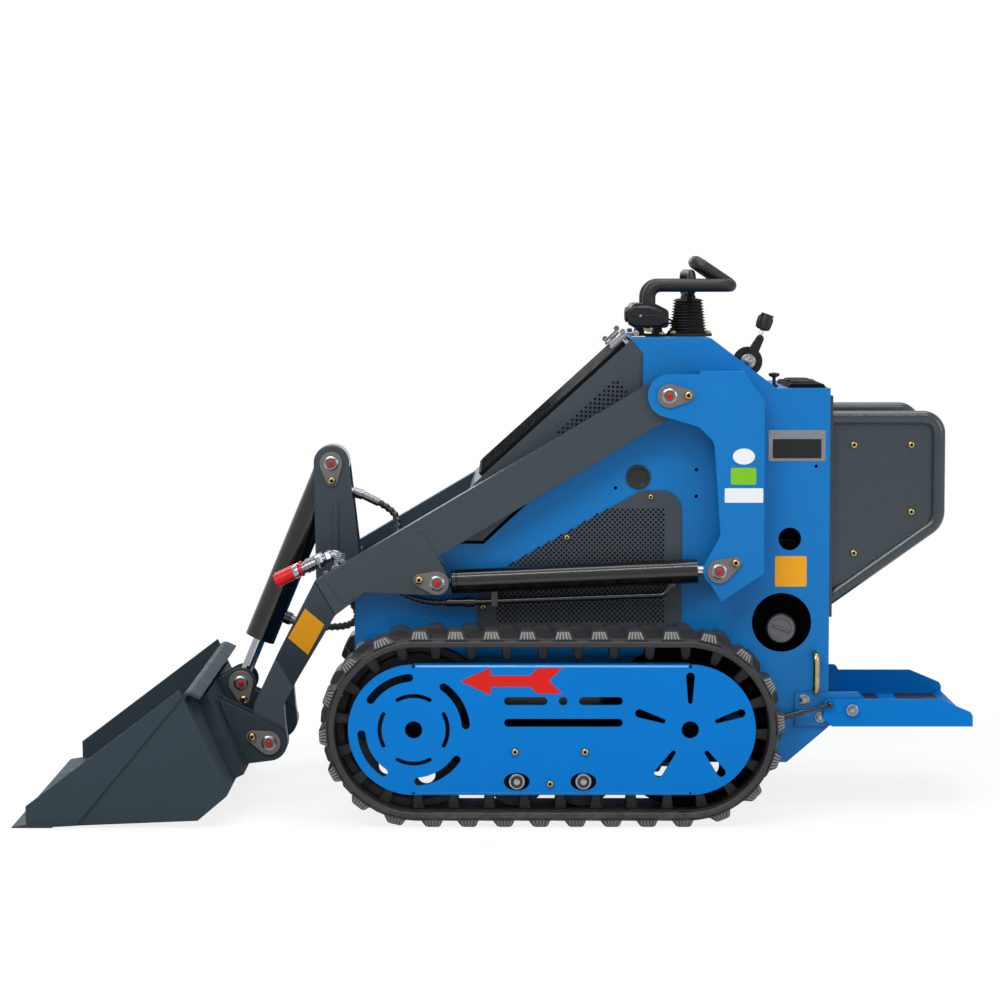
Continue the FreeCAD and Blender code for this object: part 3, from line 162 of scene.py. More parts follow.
def spread(tree, value, low, high, start=0.0, end=1.0):
    """Maps value from start..end to low..high."""
    node = add(tree, "MapRange", {"Value": value, "From Min": start, "From Max": end,
                                  "To Min": low, "To Max": high})
    return node.outputs["Result"]


def combine(tree, operation, first, second):
    """Result of a two-input operation."""
    return add(tree, "Math", {0: first, 1: second}, operation=operation).outputs["Value"]


def finish(name, colour, rough, metallic=0.0, coat=0.0, mottle=0.10, mottle_scale=5.0,
           grain=0.06, grain_scale=900.0, edge=1.2, dust=0.0, streak=0.0, specular=0.5,
           worn=0.0):
    """Procedural finish: mottled colour, uneven gloss, fine grain and softened edges.

    edge is the radius in millimetres that the shading rounds edges to, dust the height in
    metres up to which grime settles, streak the strength of brushed lines, and worn how far
    rubbed edges pale.
    """
    material = bpy.data.materials.new(name)
    material.use_nodes = True
    tree = material.node_tree
    tree.nodes.clear()
    place = add(tree, "TexCoord").outputs["Object"]
    cloud = add(tree, "TexNoise", {"Vector": place, "Scale": mottle_scale, "Detail": 5.0,
                                   "Roughness": 0.6}).outputs["Fac"]
    speck = add(tree, "TexNoise", {"Vector": place, "Scale": grain_scale,
                                   "Detail": 2.0}).outputs["Fac"]
    smear = add(tree, "TexNoise", {"Vector": place, "Scale": mottle_scale * 7, "Detail": 4.0,
                                   "Distortion": 0.6}).outputs["Fac"]
    tone = ramp(tree, cloud, [(0.3, shade(colour, 1 - mottle)), (0.55, colour),
                              (0.8, shade(colour, 1 + mottle))])
    if dust:
        height = add(tree, "SeparateXYZ", {"Vector": place}).outputs["Z"]
        low = spread(tree, height, 0.35, 0.0, 0.0, dust)
        patch = spread(tree, smear, 0.0, 1.0, 0.35, 0.7)
        amount = combine(tree, "MULTIPLY", low, patch)
        tone = add(tree, "Mix", {"Factor": amount, "A": tone, "B": GRIME},
                   data_type="RGBA").outputs["Result"]
    if worn:
        ridge = add(tree, "NewGeometry").outputs["Pointiness"]
        rubbed = spread(tree, ridge, 0.0, worn, 0.52, 0.60)
        tone = add(tree, "Mix", {"Factor": rubbed, "A": tone, "B": shade(colour, 2.4)},
                   data_type="RGBA").outputs["Result"]
    gloss = spread(tree, smear, rough * 0.82, min(1.0, rough * 1.2), 0.3, 0.7)
    if streak:
        drag = add(tree, "Mapping", {"Vector": place, "Scale": (2.0, 2.0, 90.0)}).outputs["Vector"]
        lines = add(tree, "TexNoise", {"Vector": drag, "Scale": 18.0, "Detail": 3.0}).outputs["Fac"]
        gloss = add(tree, "Math", {0: gloss, 1: spread(tree, lines, -streak, streak)},
                    operation="ADD", use_clamp=True).outputs["Value"]
    normal = {"Strength": grain, "Distance": 0.0006, "Height": speck}
    if edge:
        normal["Normal"] = add(tree, "Bevel", {"Radius": edge * MM}, samples=4).outputs["Normal"]
    shader = add(tree, "BsdfPrincipled", {
        "Base Color": tone, "Roughness": gloss, "Metallic": metallic, "Coat Weight": coat,
        "Coat Roughness": 0.15, "Specular IOR Level": specular,
        "Normal": add(tree, "Bump", normal).outputs["Normal"]})
    tree.links.new(shader.outputs["BSDF"], add(tree, "OutputMaterial").inputs["Surface"])
    return material


# Paints.
BLUE = finish("blue_enamel", srgb(0, 109, 178), 0.38, coat=0.08, mottle=0.04, grain=0.05,
              edge=2.0, dust=0.06, specular=0.22)
PLATE_BLUE = finish("bright_enamel", srgb(0, 113, 192), 0.40, coat=0.02, mottle=0.03, grain=0.05,
                    edge=2.0, dust=0.06, specular=0.08)
# Lighter blue of the guards' top folds: a painted highlight, on a really glossier coat.
HIGHLIGHT_BLUE = finish("polished_fold", srgb(96, 172, 232), 0.16, coat=0.8, mottle=0.04, grain=0.02,
                   edge=0)
GREY = finish("grey_powder_coat", srgb(54, 63, 70), 0.44, mottle=0.04, grain=0.14, edge=1.6,
              dust=0.06, specular=0.35)
ARM = finish("arm_powder_coat", srgb(50, 61, 68), 0.38, coat=0.08, mottle=0.04, grain=0.10,
             edge=2.6, specular=0.35)
BUCKET = finish("bucket_powder_coat", srgb(48, 60, 67), 0.62, mottle=0.05, grain=0.12, edge=2.0,
                specular=0.14)
DARK = finish("dark_powder_coat", srgb(44, 54, 60), 0.24, coat=0.35, mottle=0.05, grain=0.06,
              edge=1.6, specular=0.4)
GLOSS_BLACK = finish("gloss_black_enamel", srgb(8, 8, 9), 0.24, coat=1.0, mottle=0.12, grain=0.03,
                     specular=0.2)
MESH = finish("black_mesh", srgb(16, 17, 19), 0.75, mottle=0.15, grain=0.3, grain_scale=500.0,
              specular=0.08)
# Bare and plated metals.
STEEL = finish("plain_steel", srgb(128, 130, 134), 0.24, metallic=1.0, mottle=0.10, grain=0.08,
               edge=0.6)
CAST = finish("cast_wheel", srgb(38, 38, 40), 0.50, metallic=0.3, mottle=0.18, grain=0.5,
              grain_scale=420.0, dust=0.25, specular=0.3)
CHROME = finish("chromed_rod", srgb(186, 189, 194), 0.10, metallic=1.0, mottle=0.05, grain=0.02,
                edge=0)
ZINC = finish("yellow_zinc", srgb(186, 162, 112), 0.22, metallic=1.0, mottle=0.18,
              mottle_scale=60.0, grain=0.06, edge=0.5)
SILVER = finish("bright_zinc", srgb(164, 167, 171), 0.20, metallic=1.0, mottle=0.12,
                mottle_scale=60.0, grain=0.05, edge=0.5)
CAP_METAL = finish("cast_cap", srgb(104, 106, 110), 0.36, metallic=1.0, mottle=0.10,
                   mottle_scale=40.0, grain=0.25, grain_scale=400.0, edge=0.8)
BRUSHED = finish("brushed_plate", srgb(146, 148, 154), 0.34, metallic=1.0, mottle=0.12,
                 mottle_scale=12.0, grain=0.05, edge=0.3, streak=0.12)
KEEPER = finish("keeper_plate", srgb(112, 107, 103), 0.44, metallic=0.3, mottle=0.10,
                mottle_scale=30.0, grain=0.10, edge=0.6, specular=0.3)
# Rubbers and plastics.
RUBBER = finish("track_rubber", srgb(38, 38, 39), 0.42, mottle=0.14, mottle_scale=9.0, grain=0.30,
                grain_scale=520.0, edge=1.0, dust=0.10, worn=0.4, specular=0.4)
# Pale tone of the ridges on the shoes' outboard ends: a painted highlight.
HIGHLIGHT_RUBBER = finish("scuffed_rubber", srgb(122, 121, 119), 0.28, mottle=0.2, mottle_scale=90.0,
                 grain=0.2, edge=0)
GRIP = finish("soft_grip", srgb(16, 16, 17), 0.46, mottle=0.12, grain=0.35, grain_scale=700.0,
              specular=0.45)
PLASTIC = finish("moulded_plastic", srgb(16, 17, 18), 0.38, mottle=0.12, grain=0.3,
                 grain_scale=800.0, specular=0.35)
HOSE = finish("hose_cover", srgb(20, 20, 21), 0.38, mottle=0.14, grain=0.3, grain_scale=600.0,
              edge=0)
RED = finish("red_cap", srgb(200, 14, 12), 0.36, coat=0.1, mottle=0.06, grain=0.08, edge=0.6,
             specular=0.2)
# Films, and a near-black that is painted shade: the dark inside holes, slots, creases and parts
# deep behind others.
DECAL_RED = finish("red_film", srgb(206, 30, 24), 0.45, mottle=0.03, grain=0.03, edge=0,
                   specular=0.15)
YELLOW = finish("yellow_film", srgb(228, 156, 22), 0.42, mottle=0.04, grain=0.05, edge=0,
                specular=0.25)
WHITE = finish("white_film", srgb(222, 225, 228), 0.45, mottle=0.04, grain=0.05, edge=0,
               specular=0.3)
GREEN = finish("green_film", srgb(116, 184, 30), 0.42, mottle=0.04, grain=0.05, edge=0,
               specular=0.25)
# Painted shade: near-black standing in for the dark seen in openings and recesses.
SHADE_BLACK = finish("deep_hole", srgb(7, 8, 9), 0.9, mottle=0.2, grain=0.2, edge=0, specular=0.05)

SLOTS = {
    "paint_blue": BLUE, "paint_grey": GREY, "paint_dark": DARK, "paint_arm": ARM,
    "paint_bucket": BUCKET, "paint_black": GLOSS_BLACK, "mesh_black": MESH, "steel": STEEL,
    "cast": CAST, "chrome_rod": CHROME, "track_rubber": RUBBER, "grip_rubber": GRIP,
    "cap_plastic": PLASTIC, "cap_red": RED, "tank_plastic": PLASTIC, "zinc_gold": ZINC,
}
OWN_FINISH = {
    "filler_cap": CAP_METAL, "control_lever": GRIP, "throttle_lever": PLASTIC,
    # The fuel tank seen through its filler and the sprockets behind the guards take the near-black
    # of painted shade.
    "strut_rod": GLOSS_BLACK, "gauge_panel": MESH, "fuel_tank": SHADE_BLACK, "sprockets": SHADE_BLACK,
    "track_guards": PLATE_BLUE, "operator_platform": PLATE_BLUE, "track_frames": GLOSS_BLACK,
}


def dress_frame():
    """Gives each CAD node the finish of its material slot, or its own."""
    slots = {part["node"]: part["material_slot"] for part in frame["record"]["subparts"]}
    for name, node in frame["nodes"].items():
        node.data.materials.clear()
        node.data.materials.append(OWN_FINISH.get(name, SLOTS[slots[name]]))


# ---------------------------------------------------------------- mesh helpers
def show(mesh, name, materials, crease=35):
    """Object from a bmesh, smooth except at its creases."""
    bmesh.ops.recalc_face_normals(mesh, faces=mesh.faces)
    data = bpy.data.meshes.new(name)
    mesh.to_mesh(data)
    mesh.free()
    for material in materials:
        data.materials.append(material)
    data.shade_smooth()
    data.set_sharp_from_angle(angle=math.radians(crease))
    piece = bpy.data.objects.new(name, data)
    bpy.context.scene.collection.objects.link(piece)
    return piece


class Hardware:
    """Small pieces, gathered into one mesh for each body and finish."""

    def __init__(self):
        self.meshes = {}

    def mesh(self, body, material):
        """Mesh that takes the body's pieces of this finish."""
        key = (body, material.name)
        if key not in self.meshes:
            self.meshes[key] = bmesh.new()
        return self.meshes[key]

    def build(self):
        """One object for each mesh, riding on its body."""
        for (body, finish_name), mesh in sorted(self.meshes.items(), key=lambda item: item[0]):
            piece = show(mesh, f"{body}_{finish_name}", [bpy.data.materials[finish_name]])
            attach(piece, body)


hardware = Hardware()


def skin(mesh, rings, closed=False):
    """Faces between rings of vertices and caps on the ends, or none if closed joins the ends."""
    pairs = list(zip(rings, rings[1:]))
    if closed:
        pairs.append((rings[-1], rings[0]))
    count = len(rings[0])
    for low, high in pairs:
        for k in range(count):
            after = (k + 1) % count
            mesh.faces.new((low[k], low[after], high[after], high[k]))
    if not closed:
        mesh.faces.new(rings[0][::-1])
        mesh.faces.new(rings[-1])


def circle(steps):
    """Angles of evenly spaced points round a circle."""
    return [2 * math.pi * k / steps for k in range(steps)]


def facing(axis):
    """Rotation that takes +Z to axis."""
    return Vector((0, 0, 1)).rotation_difference(Vector(axis)).to_matrix()


def turned(body, material, at, profile, axis=(0, 1, 0), segments=28, lobes=(0, 0.0)):
    """Revolves (height, radius) points about axis through at; lobes=(count, depth) makes a star."""
    mesh = hardware.mesh(body, material)
    turn = facing(axis)
    rings = []
    for height, radius in profile:
        ring = []
        for angle in circle(segments):
            reach = radius * (1 + lobes[1] * math.cos(lobes[0] * angle))
            spot = Vector((reach * math.cos(angle), reach * math.sin(angle), height))
            ring.append(mesh.verts.new((Vector(at) + turn @ spot) * MM))
        rings.append(ring)
    skin(mesh, rings)


def bead(body, material, start, end, radius, segments=10):
    """Round bar between two points, with domed ends."""
    way = Vector(end) - Vector(start)
    length = way.length
    dome = [(-radius * 0.6, radius * 0.6), (0, radius), (length, radius),
            (length + radius * 0.6, radius * 0.6)]
    turned(body, material, start, dome, way.normalized(), segments)


HEXAGON_TWIST = 0.3           # how far a hexagon head has been turned, in radians


def hexagon(body, material, at, across, height, axis=(0, 1, 0)):
    """Chamfered hexagon head standing on at."""
    corner = across / math.sqrt(3)
    mesh = hardware.mesh(body, material)
    turn = facing(axis)
    angles = [HEXAGON_TWIST + k * math.pi / 3 for k in range(6)]
    rings = []
    for level, radius in ((0, corner), (height * 0.82, corner), (height, corner * 0.86)):
        rings.append([mesh.verts.new((Vector(at) + turn @ Vector(
            (radius * math.cos(a), radius * math.sin(a), level))) * MM) for a in angles])
    skin(mesh, rings)


def screw(body, at, size, material, axis=(0, 1, 0)):
    """Domed socket-head screw; size is the head's diameter."""
    r = size / 2
    height = size * 0.42
    head = [(0, r), (size * 0.18, r), (size * 0.34, r * 0.84), (height, r * 0.56),
            (height, r * 0.48)]
    turned(body, material, at, head, axis, 24)
    top = Vector(at) + Vector(axis) * height
    # Near-black disc in the socket: painted shade in the recess.
    turned(body, SHADE_BLACK, top, [(0, r * 0.46), (0.15, r * 0.42)], axis, 6)


def nut(body, at, across, washer, axis=(0, 1, 0)):
    """Hexagon nut with a bolt's end, on a washer of the given radius."""
    axis = Vector(axis)
    turned(body, SILVER, at, [(0, washer), (0.9, washer), (1.3, washer - 0.8)], axis)
    foot = Vector(at) + axis * 1.2
    hexagon(body, STEEL, foot, across, 4.0, axis)
    bolt_r = across * 0.28
    bolt = [(0, bolt_r), (1.0, bolt_r), (1.6, across * 0.2)]
    turned(body, SILVER, foot + axis * 4.0, bolt, axis, 18)


def plate(body, material, outline, y0, y1, edge=0.8):
    """XZ outline extruded from y0 to y1 with a small chamfer on the outer face."""
    mesh = hardware.mesh(body, material)
    centre = Vector((sum(p[0] for p in outline), sum(p[1] for p in outline))) / len(outline)
    side = 1 if y1 > y0 else -1
    rings = []
    for y, pull in ((y0, 0.0), (y1 - side * edge, 0.0), (y1, edge)):
        ring = []
        for x, z in outline:
            away = Vector((x, z)) - centre
            spot = centre + away * max(0.0, 1 - pull / max(away.length, 1e-6))
            ring.append(mesh.verts.new(Vector((spot.x, y, spot.y)) * MM))
        rings.append(ring)
    skin(mesh, rings)


def film(body, material, outline, y, side, lift=0.3):
    """Thin film on a side face; the outline may be concave."""
    mesh = hardware.mesh(body, material)
    low, high = [[mesh.verts.new(Vector((x, y + side * rise, z)) * MM) for x, z in outline]
                 for rise in (0.0, lift)]
    for k in range(len(outline)):
        after = (k + 1) % len(outline)
        mesh.faces.new((low[k], low[after], high[after], high[k]))
    for corners in tessellate_polygon([[Vector((x, z, 0)) for x, z in outline]]):
        mesh.faces.new([high[k] for k in corners])
        mesh.faces.new([low[k] for k in reversed(corners)])


def slab(body, material, centre, half, along=(1, 0, 0), up=(0, 0, 1), edge=0.6):
    """Block with chamfered edges; half holds its half sizes along, across and up."""
    mesh = hardware.mesh(body, material)
    along, up = Vector(along).normalized(), Vector(up).normalized()
    across = up.cross(along)
    rings = []
    for level, pull in ((-1, edge), (-1, 0), (1, 0), (1, edge)):
        lift = half[2] if pull else half[2] - edge
        a, b = half[0] - pull, half[1] - pull
        rings.append([mesh.verts.new((Vector(centre) + along * s * a + across * t * b
                                      + up * level * lift) * MM)
                      for s, t in ((1, 1), (-1, 1), (-1, -1), (1, -1))])
    skin(mesh, rings)


def rounded_box(x0, x1, z0, z1, radius):
    """XZ outline of a rectangle with round corners."""
    steps = 5
    outline = []
    for cx, cz, start in ((x1 - radius, z1 - radius, 0), (x0 + radius, z1 - radius, 90),
                          (x0 + radius, z0 + radius, 180), (x1 - radius, z0 + radius, 270)):
        for k in range(steps + 1):
            angle = math.radians(start + 90 * k / steps)
            outline.append((cx + radius * math.cos(angle), cz + radius * math.sin(angle)))
    return outline


def oval(x, z, half_x, half_z):
    """XZ outline of an upright oval."""
    return [(x + half_x * math.cos(a), z + half_z * math.sin(a)) for a in circle(32)]


def pear(big, big_r, small, small_r):
    """Outline pulled tight round two XZ circles."""
    steps = 16
    ax, az = big
    bx, bz = small
    heading = math.atan2(bz - az, bx - ax)
    lean = math.acos((big_r - small_r) / math.hypot(bx - ax, bz - az))
    outline = []
    for centre, radius, first, last in ((big, big_r, heading + lean, heading + 2 * math.pi - lean),
                                        (small, small_r, heading - lean, heading + lean)):
        for k in range(steps + 1):
            angle = first + (last - first) * k / steps
            outline.append((centre[0] + radius * math.cos(angle),
                            centre[1] + radius * math.sin(angle)))
    return outline


def smooth_route(points, step):
    """Evenly spaced points, in metres, on the smooth spline with these control points."""
    curve = bpy.data.curves.new("route", "CURVE")
    curve.dimensions = "3D"
    curve.resolution_u = 16
    spline = curve.splines.new("NURBS")
    spline.points.add(len(points) - 1)
    for point, spot in zip(spline.points, points):
        point.co = (*(Vector(spot) * MM), 1.0)
    spline.order_u = 3
    spline.use_endpoint_u = True
    holder = bpy.data.objects.new("route", curve)
    traced = bpy.data.meshes.new_from_object(holder)
    line = [v.co.copy() for v in traced.vertices]
    bpy.data.objects.remove(holder)
    bpy.data.curves.remove(curve)
    bpy.data.meshes.remove(traced)
    lengths = [0.0]
    for a, b in zip(line, line[1:]):
        lengths.append(lengths[-1] + (b - a).length)
    count = max(2, round(lengths[-1] / (step * MM)))
    even, at = [], 0
    for k in range(count + 1):
        want = lengths[-1] * k / count
        while at < len(line) - 2 and lengths[at + 1] < want:
            at += 1
        share = (want - lengths[at]) / max(lengths[at + 1] - lengths[at], 1e-9)
        even.append(line[at].lerp(line[at + 1], min(1.0, share)))
    return even


# ---------------------------------------------------------------- treads
def on_loop(distance, radius):
    """XZ point at a radius from the wheels' centres, and the outward direction there."""
    arc = math.pi * PITCH_R
    distance %= 2 * (arc + WHEEL_BASE)
    if distance < arc:
        angle, x = distance / PITCH_R - math.pi / 2, FRONT_AXLE_X
    elif distance < arc + WHEEL_BASE:
        angle, x = math.pi / 2, FRONT_AXLE_X - (distance - arc)
    elif distance < 2 * arc + WHEEL_BASE:
        angle, x = math.pi / 2 + (distance - arc - WHEEL_BASE) / PITCH_R, REAR_AXLE_X
    else:
        angle, x = -math.pi / 2, REAR_AXLE_X + (distance - 2 * arc - WHEEL_BASE)
    out = Vector((math.cos(angle), 0, math.sin(angle)))
    return Vector((x, 0, AXLE_Z)) + out * radius, out


STEPS_PER_LINK = 8
SHOE_SHIFT = (-0.43, -0.03)   # outboard and inboard shoes, in pitches ahead of the lugs
LUG_ROWS = (-28.5, 28.5)      # the two rows of drive lugs, from the belt's middle

# Sections. The belt's is (distance from its middle, radius), its outboard half; those of the
# bars across it are (distance along the belt, radius), a shoe's steep behind and sloping ahead.
BELT_SECTION = [
    (0, 162.2), (80, 162.2), (84, 163.0), (88, 163.2), (90, 165.2), (90, 172.6), (88.4, 175.0),
    (85.6, 175.6), (84.4, 179.2), (82, 180.2), (0, 180.2),
]
SHOE_SECTION = [
    (-22, 177), (-20, 180.6), (-15.5, 190.8), (-13, 193.2), (-10, 194.0), (9, 194.0),
    (12.5, 193.2), (15, 191.6), (23.5, 181.2), (28, 177),
]
LUG_SECTION = [
    (-13.5, 164.5), (-11.8, 158), (-9.6, 140), (-7.6, 134.6), (-3.5, 132.2), (3.5, 132.2),
    (7.6, 134.6), (9.6, 140), (11.8, 158), (13.5, 164.5),
]
# Spans of the bars across the belt: (y, share of the height, share of the width).
OUTBOARD_SHOE = [(346, 1, 1), (424, 1, 1), (427, 0.9, 0.97), (437.5, 0.15, 0.93)]
INBOARD_SHOE = [(262.5, 0.2, 0.93), (266.5, 0.86, 0.97), (270, 1, 1), (354, 1, 1)]
LUG_SPANS = [(-6.9, 0.93, 0.78), (-5.2, 1, 0.94), (5.2, 1, 0.94), (6.9, 0.93, 0.78)]

# Ridges on a shoe's sloping end, paled as a painted highlight: the end's foot and head as (first
# ridge's place along the belt, step between ridges, radius, y), and a ridge's section as (along,
# out).
RIDGES = 5
RIDGE_ENDS = ((-14, 7.0, 179.6, 437.4), (-10, 4.6, 192.8, 427.6))
RIDGE_SECTION = ((-1.9, -0.6), (-1.4, 0.8), (1.4, 0.8), (1.9, -0.6))


def bar_across(mesh, distance, section, spans, side):
    """Bar across the belt: its section lofted through the spans."""
    centre, out = on_loop(distance, 0)
    ahead = Vector((-out.z, 0, out.x))
    foot = section[0][1]
    rings = []
    for y, height, width in spans:
        rings.append([mesh.verts.new((centre + ahead * s * width
                                      + out * (foot + (r - foot) * height)
                                      + Vector((0, side * y, 0))) * MM) for s, r in section])
    skin(mesh, rings)


def ridges(mesh, distance, side):
    """Fine upright ridges on the outboard end of a shoe, in the tread's second finish, whose pale
    tone is a painted highlight.
    """
    centre, out = on_loop(distance, 0)
    ahead = Vector((-out.z, 0, out.x))
    for k in range(RIDGES):
        low, high = [], []
        for row, (first, step, radius, y) in zip((low, high), RIDGE_ENDS):
            for s, lift in RIDGE_SECTION:
                spot = centre + ahead * (first + step * k + s) + out * radius
                row.append(mesh.verts.new((spot + Vector((0, side * (y + lift), 0))) * MM))
        for n in range(len(RIDGE_SECTION) - 1):
            face = mesh.faces.new((low[n], low[n + 1], high[n + 1], high[n]))
            face.material_index = 1


def tread(side, node):
    """Endless rubber belt with beaded rims, two staggered rows of shoes and two of drive lugs."""
    mesh = bmesh.new()
    section = [(y, r) for y, r in BELT_SECTION] + [(-y, r) for y, r in BELT_SECTION[-2:0:-1]]
    rings = []
    for step in range(TRACK_LINKS * STEPS_PER_LINK):
        centre, out = on_loop(step * TRACK_PITCH / STEPS_PER_LINK, 0)
        rings.append([mesh.verts.new((centre + out * r + Vector((0, side * (TRACK_Y + y), 0))) * MM)
                      for y, r in section])
    skin(mesh, rings, closed=True)
    for link in range(TRACK_LINKS):
        here = link * TRACK_PITCH
        outboard, inboard = (here + shift * TRACK_PITCH for shift in SHOE_SHIFT)
        bar_across(mesh, outboard, SHOE_SECTION, OUTBOARD_SHOE, side)
        bar_across(mesh, inboard, SHOE_SECTION, INBOARD_SHOE, side)
        ridges(mesh, outboard, side)
        for row in LUG_ROWS:
            spans = [(TRACK_Y + row + y, height, width) for y, height, width in LUG_SPANS]
            bar_across(mesh, here, LUG_SECTION, spans, side)
    # The second finish is the painted highlight of the shoes' ridges.
    piece = show(mesh, node.replace("track", "tread"), [RUBBER, HIGHLIGHT_RUBBER], crease=32)
    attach(piece, "chassis")
    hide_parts(node)


# ---------------------------------------------------------------- pins and hoses
KEEPER_PLATE = 5.0            # thickness of the plate that holds a pin
# (height, radius) profiles on a pin's end, from the keeper plate's face outwards.
PIN_RING = [(0, 15.1), (0.8, 15.1), (1.6, 13.4), (2.9, 12.8), (3.4, 12.0), (3.4, 10.6), (1.2, 9.8)]
PIN_FACE = [(0, 9.8), (0.3, 9.4)]
NIPPLE_CAP = [(0, 6.0), (3.0, 5.8), (4.6, 4.4), (5.1, 2.0), (5.2, 0.6)]


def pin_end(body, pin, bolt, y, side, pin_r=24.0):
    """Keeper plate round a pin's end, with its bolt and a capped grease nipple in the pin."""
    bolt_r = 12.0
    face = y + side * KEEPER_PLATE
    axis = (0, side, 0)
    plate(body, KEEPER, pear(pin, pin_r, bolt, bolt_r), y, face)
    turned(body, SILVER, (pin[0], face, pin[1]), PIN_RING, axis, 36)
    turned(body, KEEPER, (pin[0], face + side * 1.2, pin[1]), PIN_FACE, axis)
    turned(body, RED, (pin[0], face + side * 1.4, pin[1]), NIPPLE_CAP, axis)
    screw(body, (bolt[0], face, bolt[1]), 17.0, ZINC, axis)


def pins():
    """Both ends of every pin of the arms, their cylinders and the bucket's hitch."""
    for side in (1, -1):
        pin_end("chassis", BOOM_PIVOT, (-375.4, 845.4), side * TOWER_Y, side)
        pin_end("chassis", LIFT_FOOT, (-471.4, 510.3), side * TOWER_Y, side)
        pin_end("boom", LIFT_HEAD, (162.4, 474.7), side * ARM_Y, side)
        pin_end("boom", TILT_HEAD, (348.4, 659.1), side * CHEEK_Y, side)
        pin_end("bucket", BUCKET_PIVOT, (505.5, 145.9), side * EAR_Y, side)
        pin_end("bucket", TILT_FOOT, (534.1, 202.6), side * TILT_EAR_Y, side, pin_r=26.0)


def hose(name, route, radius, ridge=1.3, lead=11.0):
    """Hose in a spiral wrap, along a route.

    ridge is the height of the wrap's coils, and lead the distance from one to the next.
    """
    path = smooth_route(route, 2.0)
    mesh = bmesh.new()
    rings = []
    run = 0.0
    across = None
    for k, spot in enumerate(path):
        ahead = (path[min(k + 1, len(path) - 1)] - path[max(k - 1, 0)]).normalized()
        if across is None:
            across = ahead.cross(Vector((0, 1, 0))).normalized()
        across = (across - ahead * across.dot(ahead)).normalized()
        over = ahead.cross(across)
        run += (spot - path[max(k - 1, 0)]).length / MM
        ring = []
        for angle in circle(16):
            wave = math.cos(angle - 2 * math.pi * run / lead)
            reach = (radius - ridge + ridge * max(0.0, wave)) * MM
            ring.append(mesh.verts.new(spot + across * reach * math.cos(angle)
                                       + over * reach * math.sin(angle)))
        rings.append(ring)
    skin(mesh, rings)
    piece = show(mesh, name, [HOSE], crease=60)
    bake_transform(piece)


# Hose routes, from the cylinder to the boom, with the machine at rest. A lift hose's is (x, z).
LIFT_HOSE = [(106, 427.2), (140, 427.0), (166, 433), (188, 442), (212, 456)]
TILT_HOSES = {
    "low": (8.2, [(424, 0, 359.5), (398, 0, 349), (356, 14, 350), (312, 40, 356),
                  (292, 58, 378), (306, 68, 408), (320, 74, 432)]),
    "top": (8.0, [(254, 0, 610.5), (234, 3, 601), (211, 14, 578), (214, 40, 530),
                  (246, 66, 496), (290, 80, 485)]),
}
HOSE_FITTING = [(0, 9.5), (18, 9.5), (19, 8.6), (30, 8.6), (31, 7.6)]
PORT_FITTING = [(0, 8.6), (20, 8.6), (21, 7.8)]


def hoses():
    """Hoses that pass from the boom to the cylinders that swing on it."""
    for side, name in ((1, "left"), (-1, "right")):
        route = [(x, side * LIFT_Y, z) for x, z in LIFT_HOSE]
        hose(f"lift_hose_{name}", route, 6.8)
    for name, (radius, route) in TILT_HOSES.items():
        hose(f"tilt_hose_{name}", route, radius, ridge=1.8, lead=13)
    for at, axis in (((323, 74, 438), (-0.25, 0, -1)), ((292, 80, 484.5), (-0.92, -0.2, 0.2))):
        turned("boom", SILVER, at, HOSE_FITTING, Vector(axis).normalized(), 20)
    turned("tilt_cylinder", SILVER, (428, 0, 361.2), PORT_FITTING, (-0.92, 0, -0.38), 20)


# ---------------------------------------------------------------- body hardware
def hole_rows(body, origin, along, rows, columns, pitch, radius, y, side, inside=None):
    """Staggered rows of near-black discs on a side face, painted shade standing in for round holes;
    the rows run along a direction.
    """
    mesh = hardware.mesh(body, SHADE_BLACK)
    ax, az = along
    for row in range(rows):
        for column in range(columns):
            s = (column + 0.5 * (row % 2)) * pitch
            x = origin[0] + ax * s - az * row * pitch * 0.5
            z = origin[1] + az * s + ax * row * pitch * 0.5
            if inside and not inside(x, z):
                continue
            mesh.faces.new([mesh.verts.new(Vector((x + radius * math.cos(a), y + side * 0.25,
                                                   z + radius * math.sin(a))) * MM)
                            for a in circle(10)])


def in_side_vent(x, z):
    """Whether a hole fits inside the side vent, below its sloping edge."""
    return x < 9 and z < 613 and z < 655 - 0.565 * (x + 289)


def vents():
    """Side vents and hood cheeks, perforated with near-black discs of painted shade."""
    for side in (1, -1):
        hole_rows("chassis", (-330, 386), (1, 0), rows=64, columns=34, pitch=10.3, radius=2.4,
                  y=side * VENT_Y, side=side, inside=in_side_vent)
        for x, z in ((-135, 556), (-304, 638), (34.5, 415)):
            screw("chassis", (x, side * VENT_Y, z), 12, ZINC, (0, side, 0))
        hole_rows("hood", (-262, 841), HOOD_FALL, rows=8, columns=13, pitch=12.4, radius=2.6,
                  y=side * SIDE_Y, side=side)


def grille():
    """Woven wire over the hood's sloping top."""
    down = (GRILLE_FOOT - GRILLE_TOP).normalized()
    out = Vector((-down.z, 0, down.x))
    length = (GRILLE_FOOT - GRILLE_TOP).length
    half_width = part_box("hood_grille")[1][1] / MM - 6
    wire = 0.9                # half thickness
    across = int(length / 9)
    for k in range(across + 1):
        at = GRILLE_TOP + down * (4 + k * (length - 8) / across) + out * 0.3
        slab("hood", MESH, at, (wire, half_width, wire), down, out, 0.3)
    along = 40
    middle = (GRILLE_TOP + GRILLE_FOOT) / 2 + out * 0.8
    for k in range(along + 1):
        y = -half_width + k * 2 * half_width / along
        slab("hood", MESH, (middle.x, y, middle.z), (length / 2 - 4, wire, wire), down, out, 0.3)


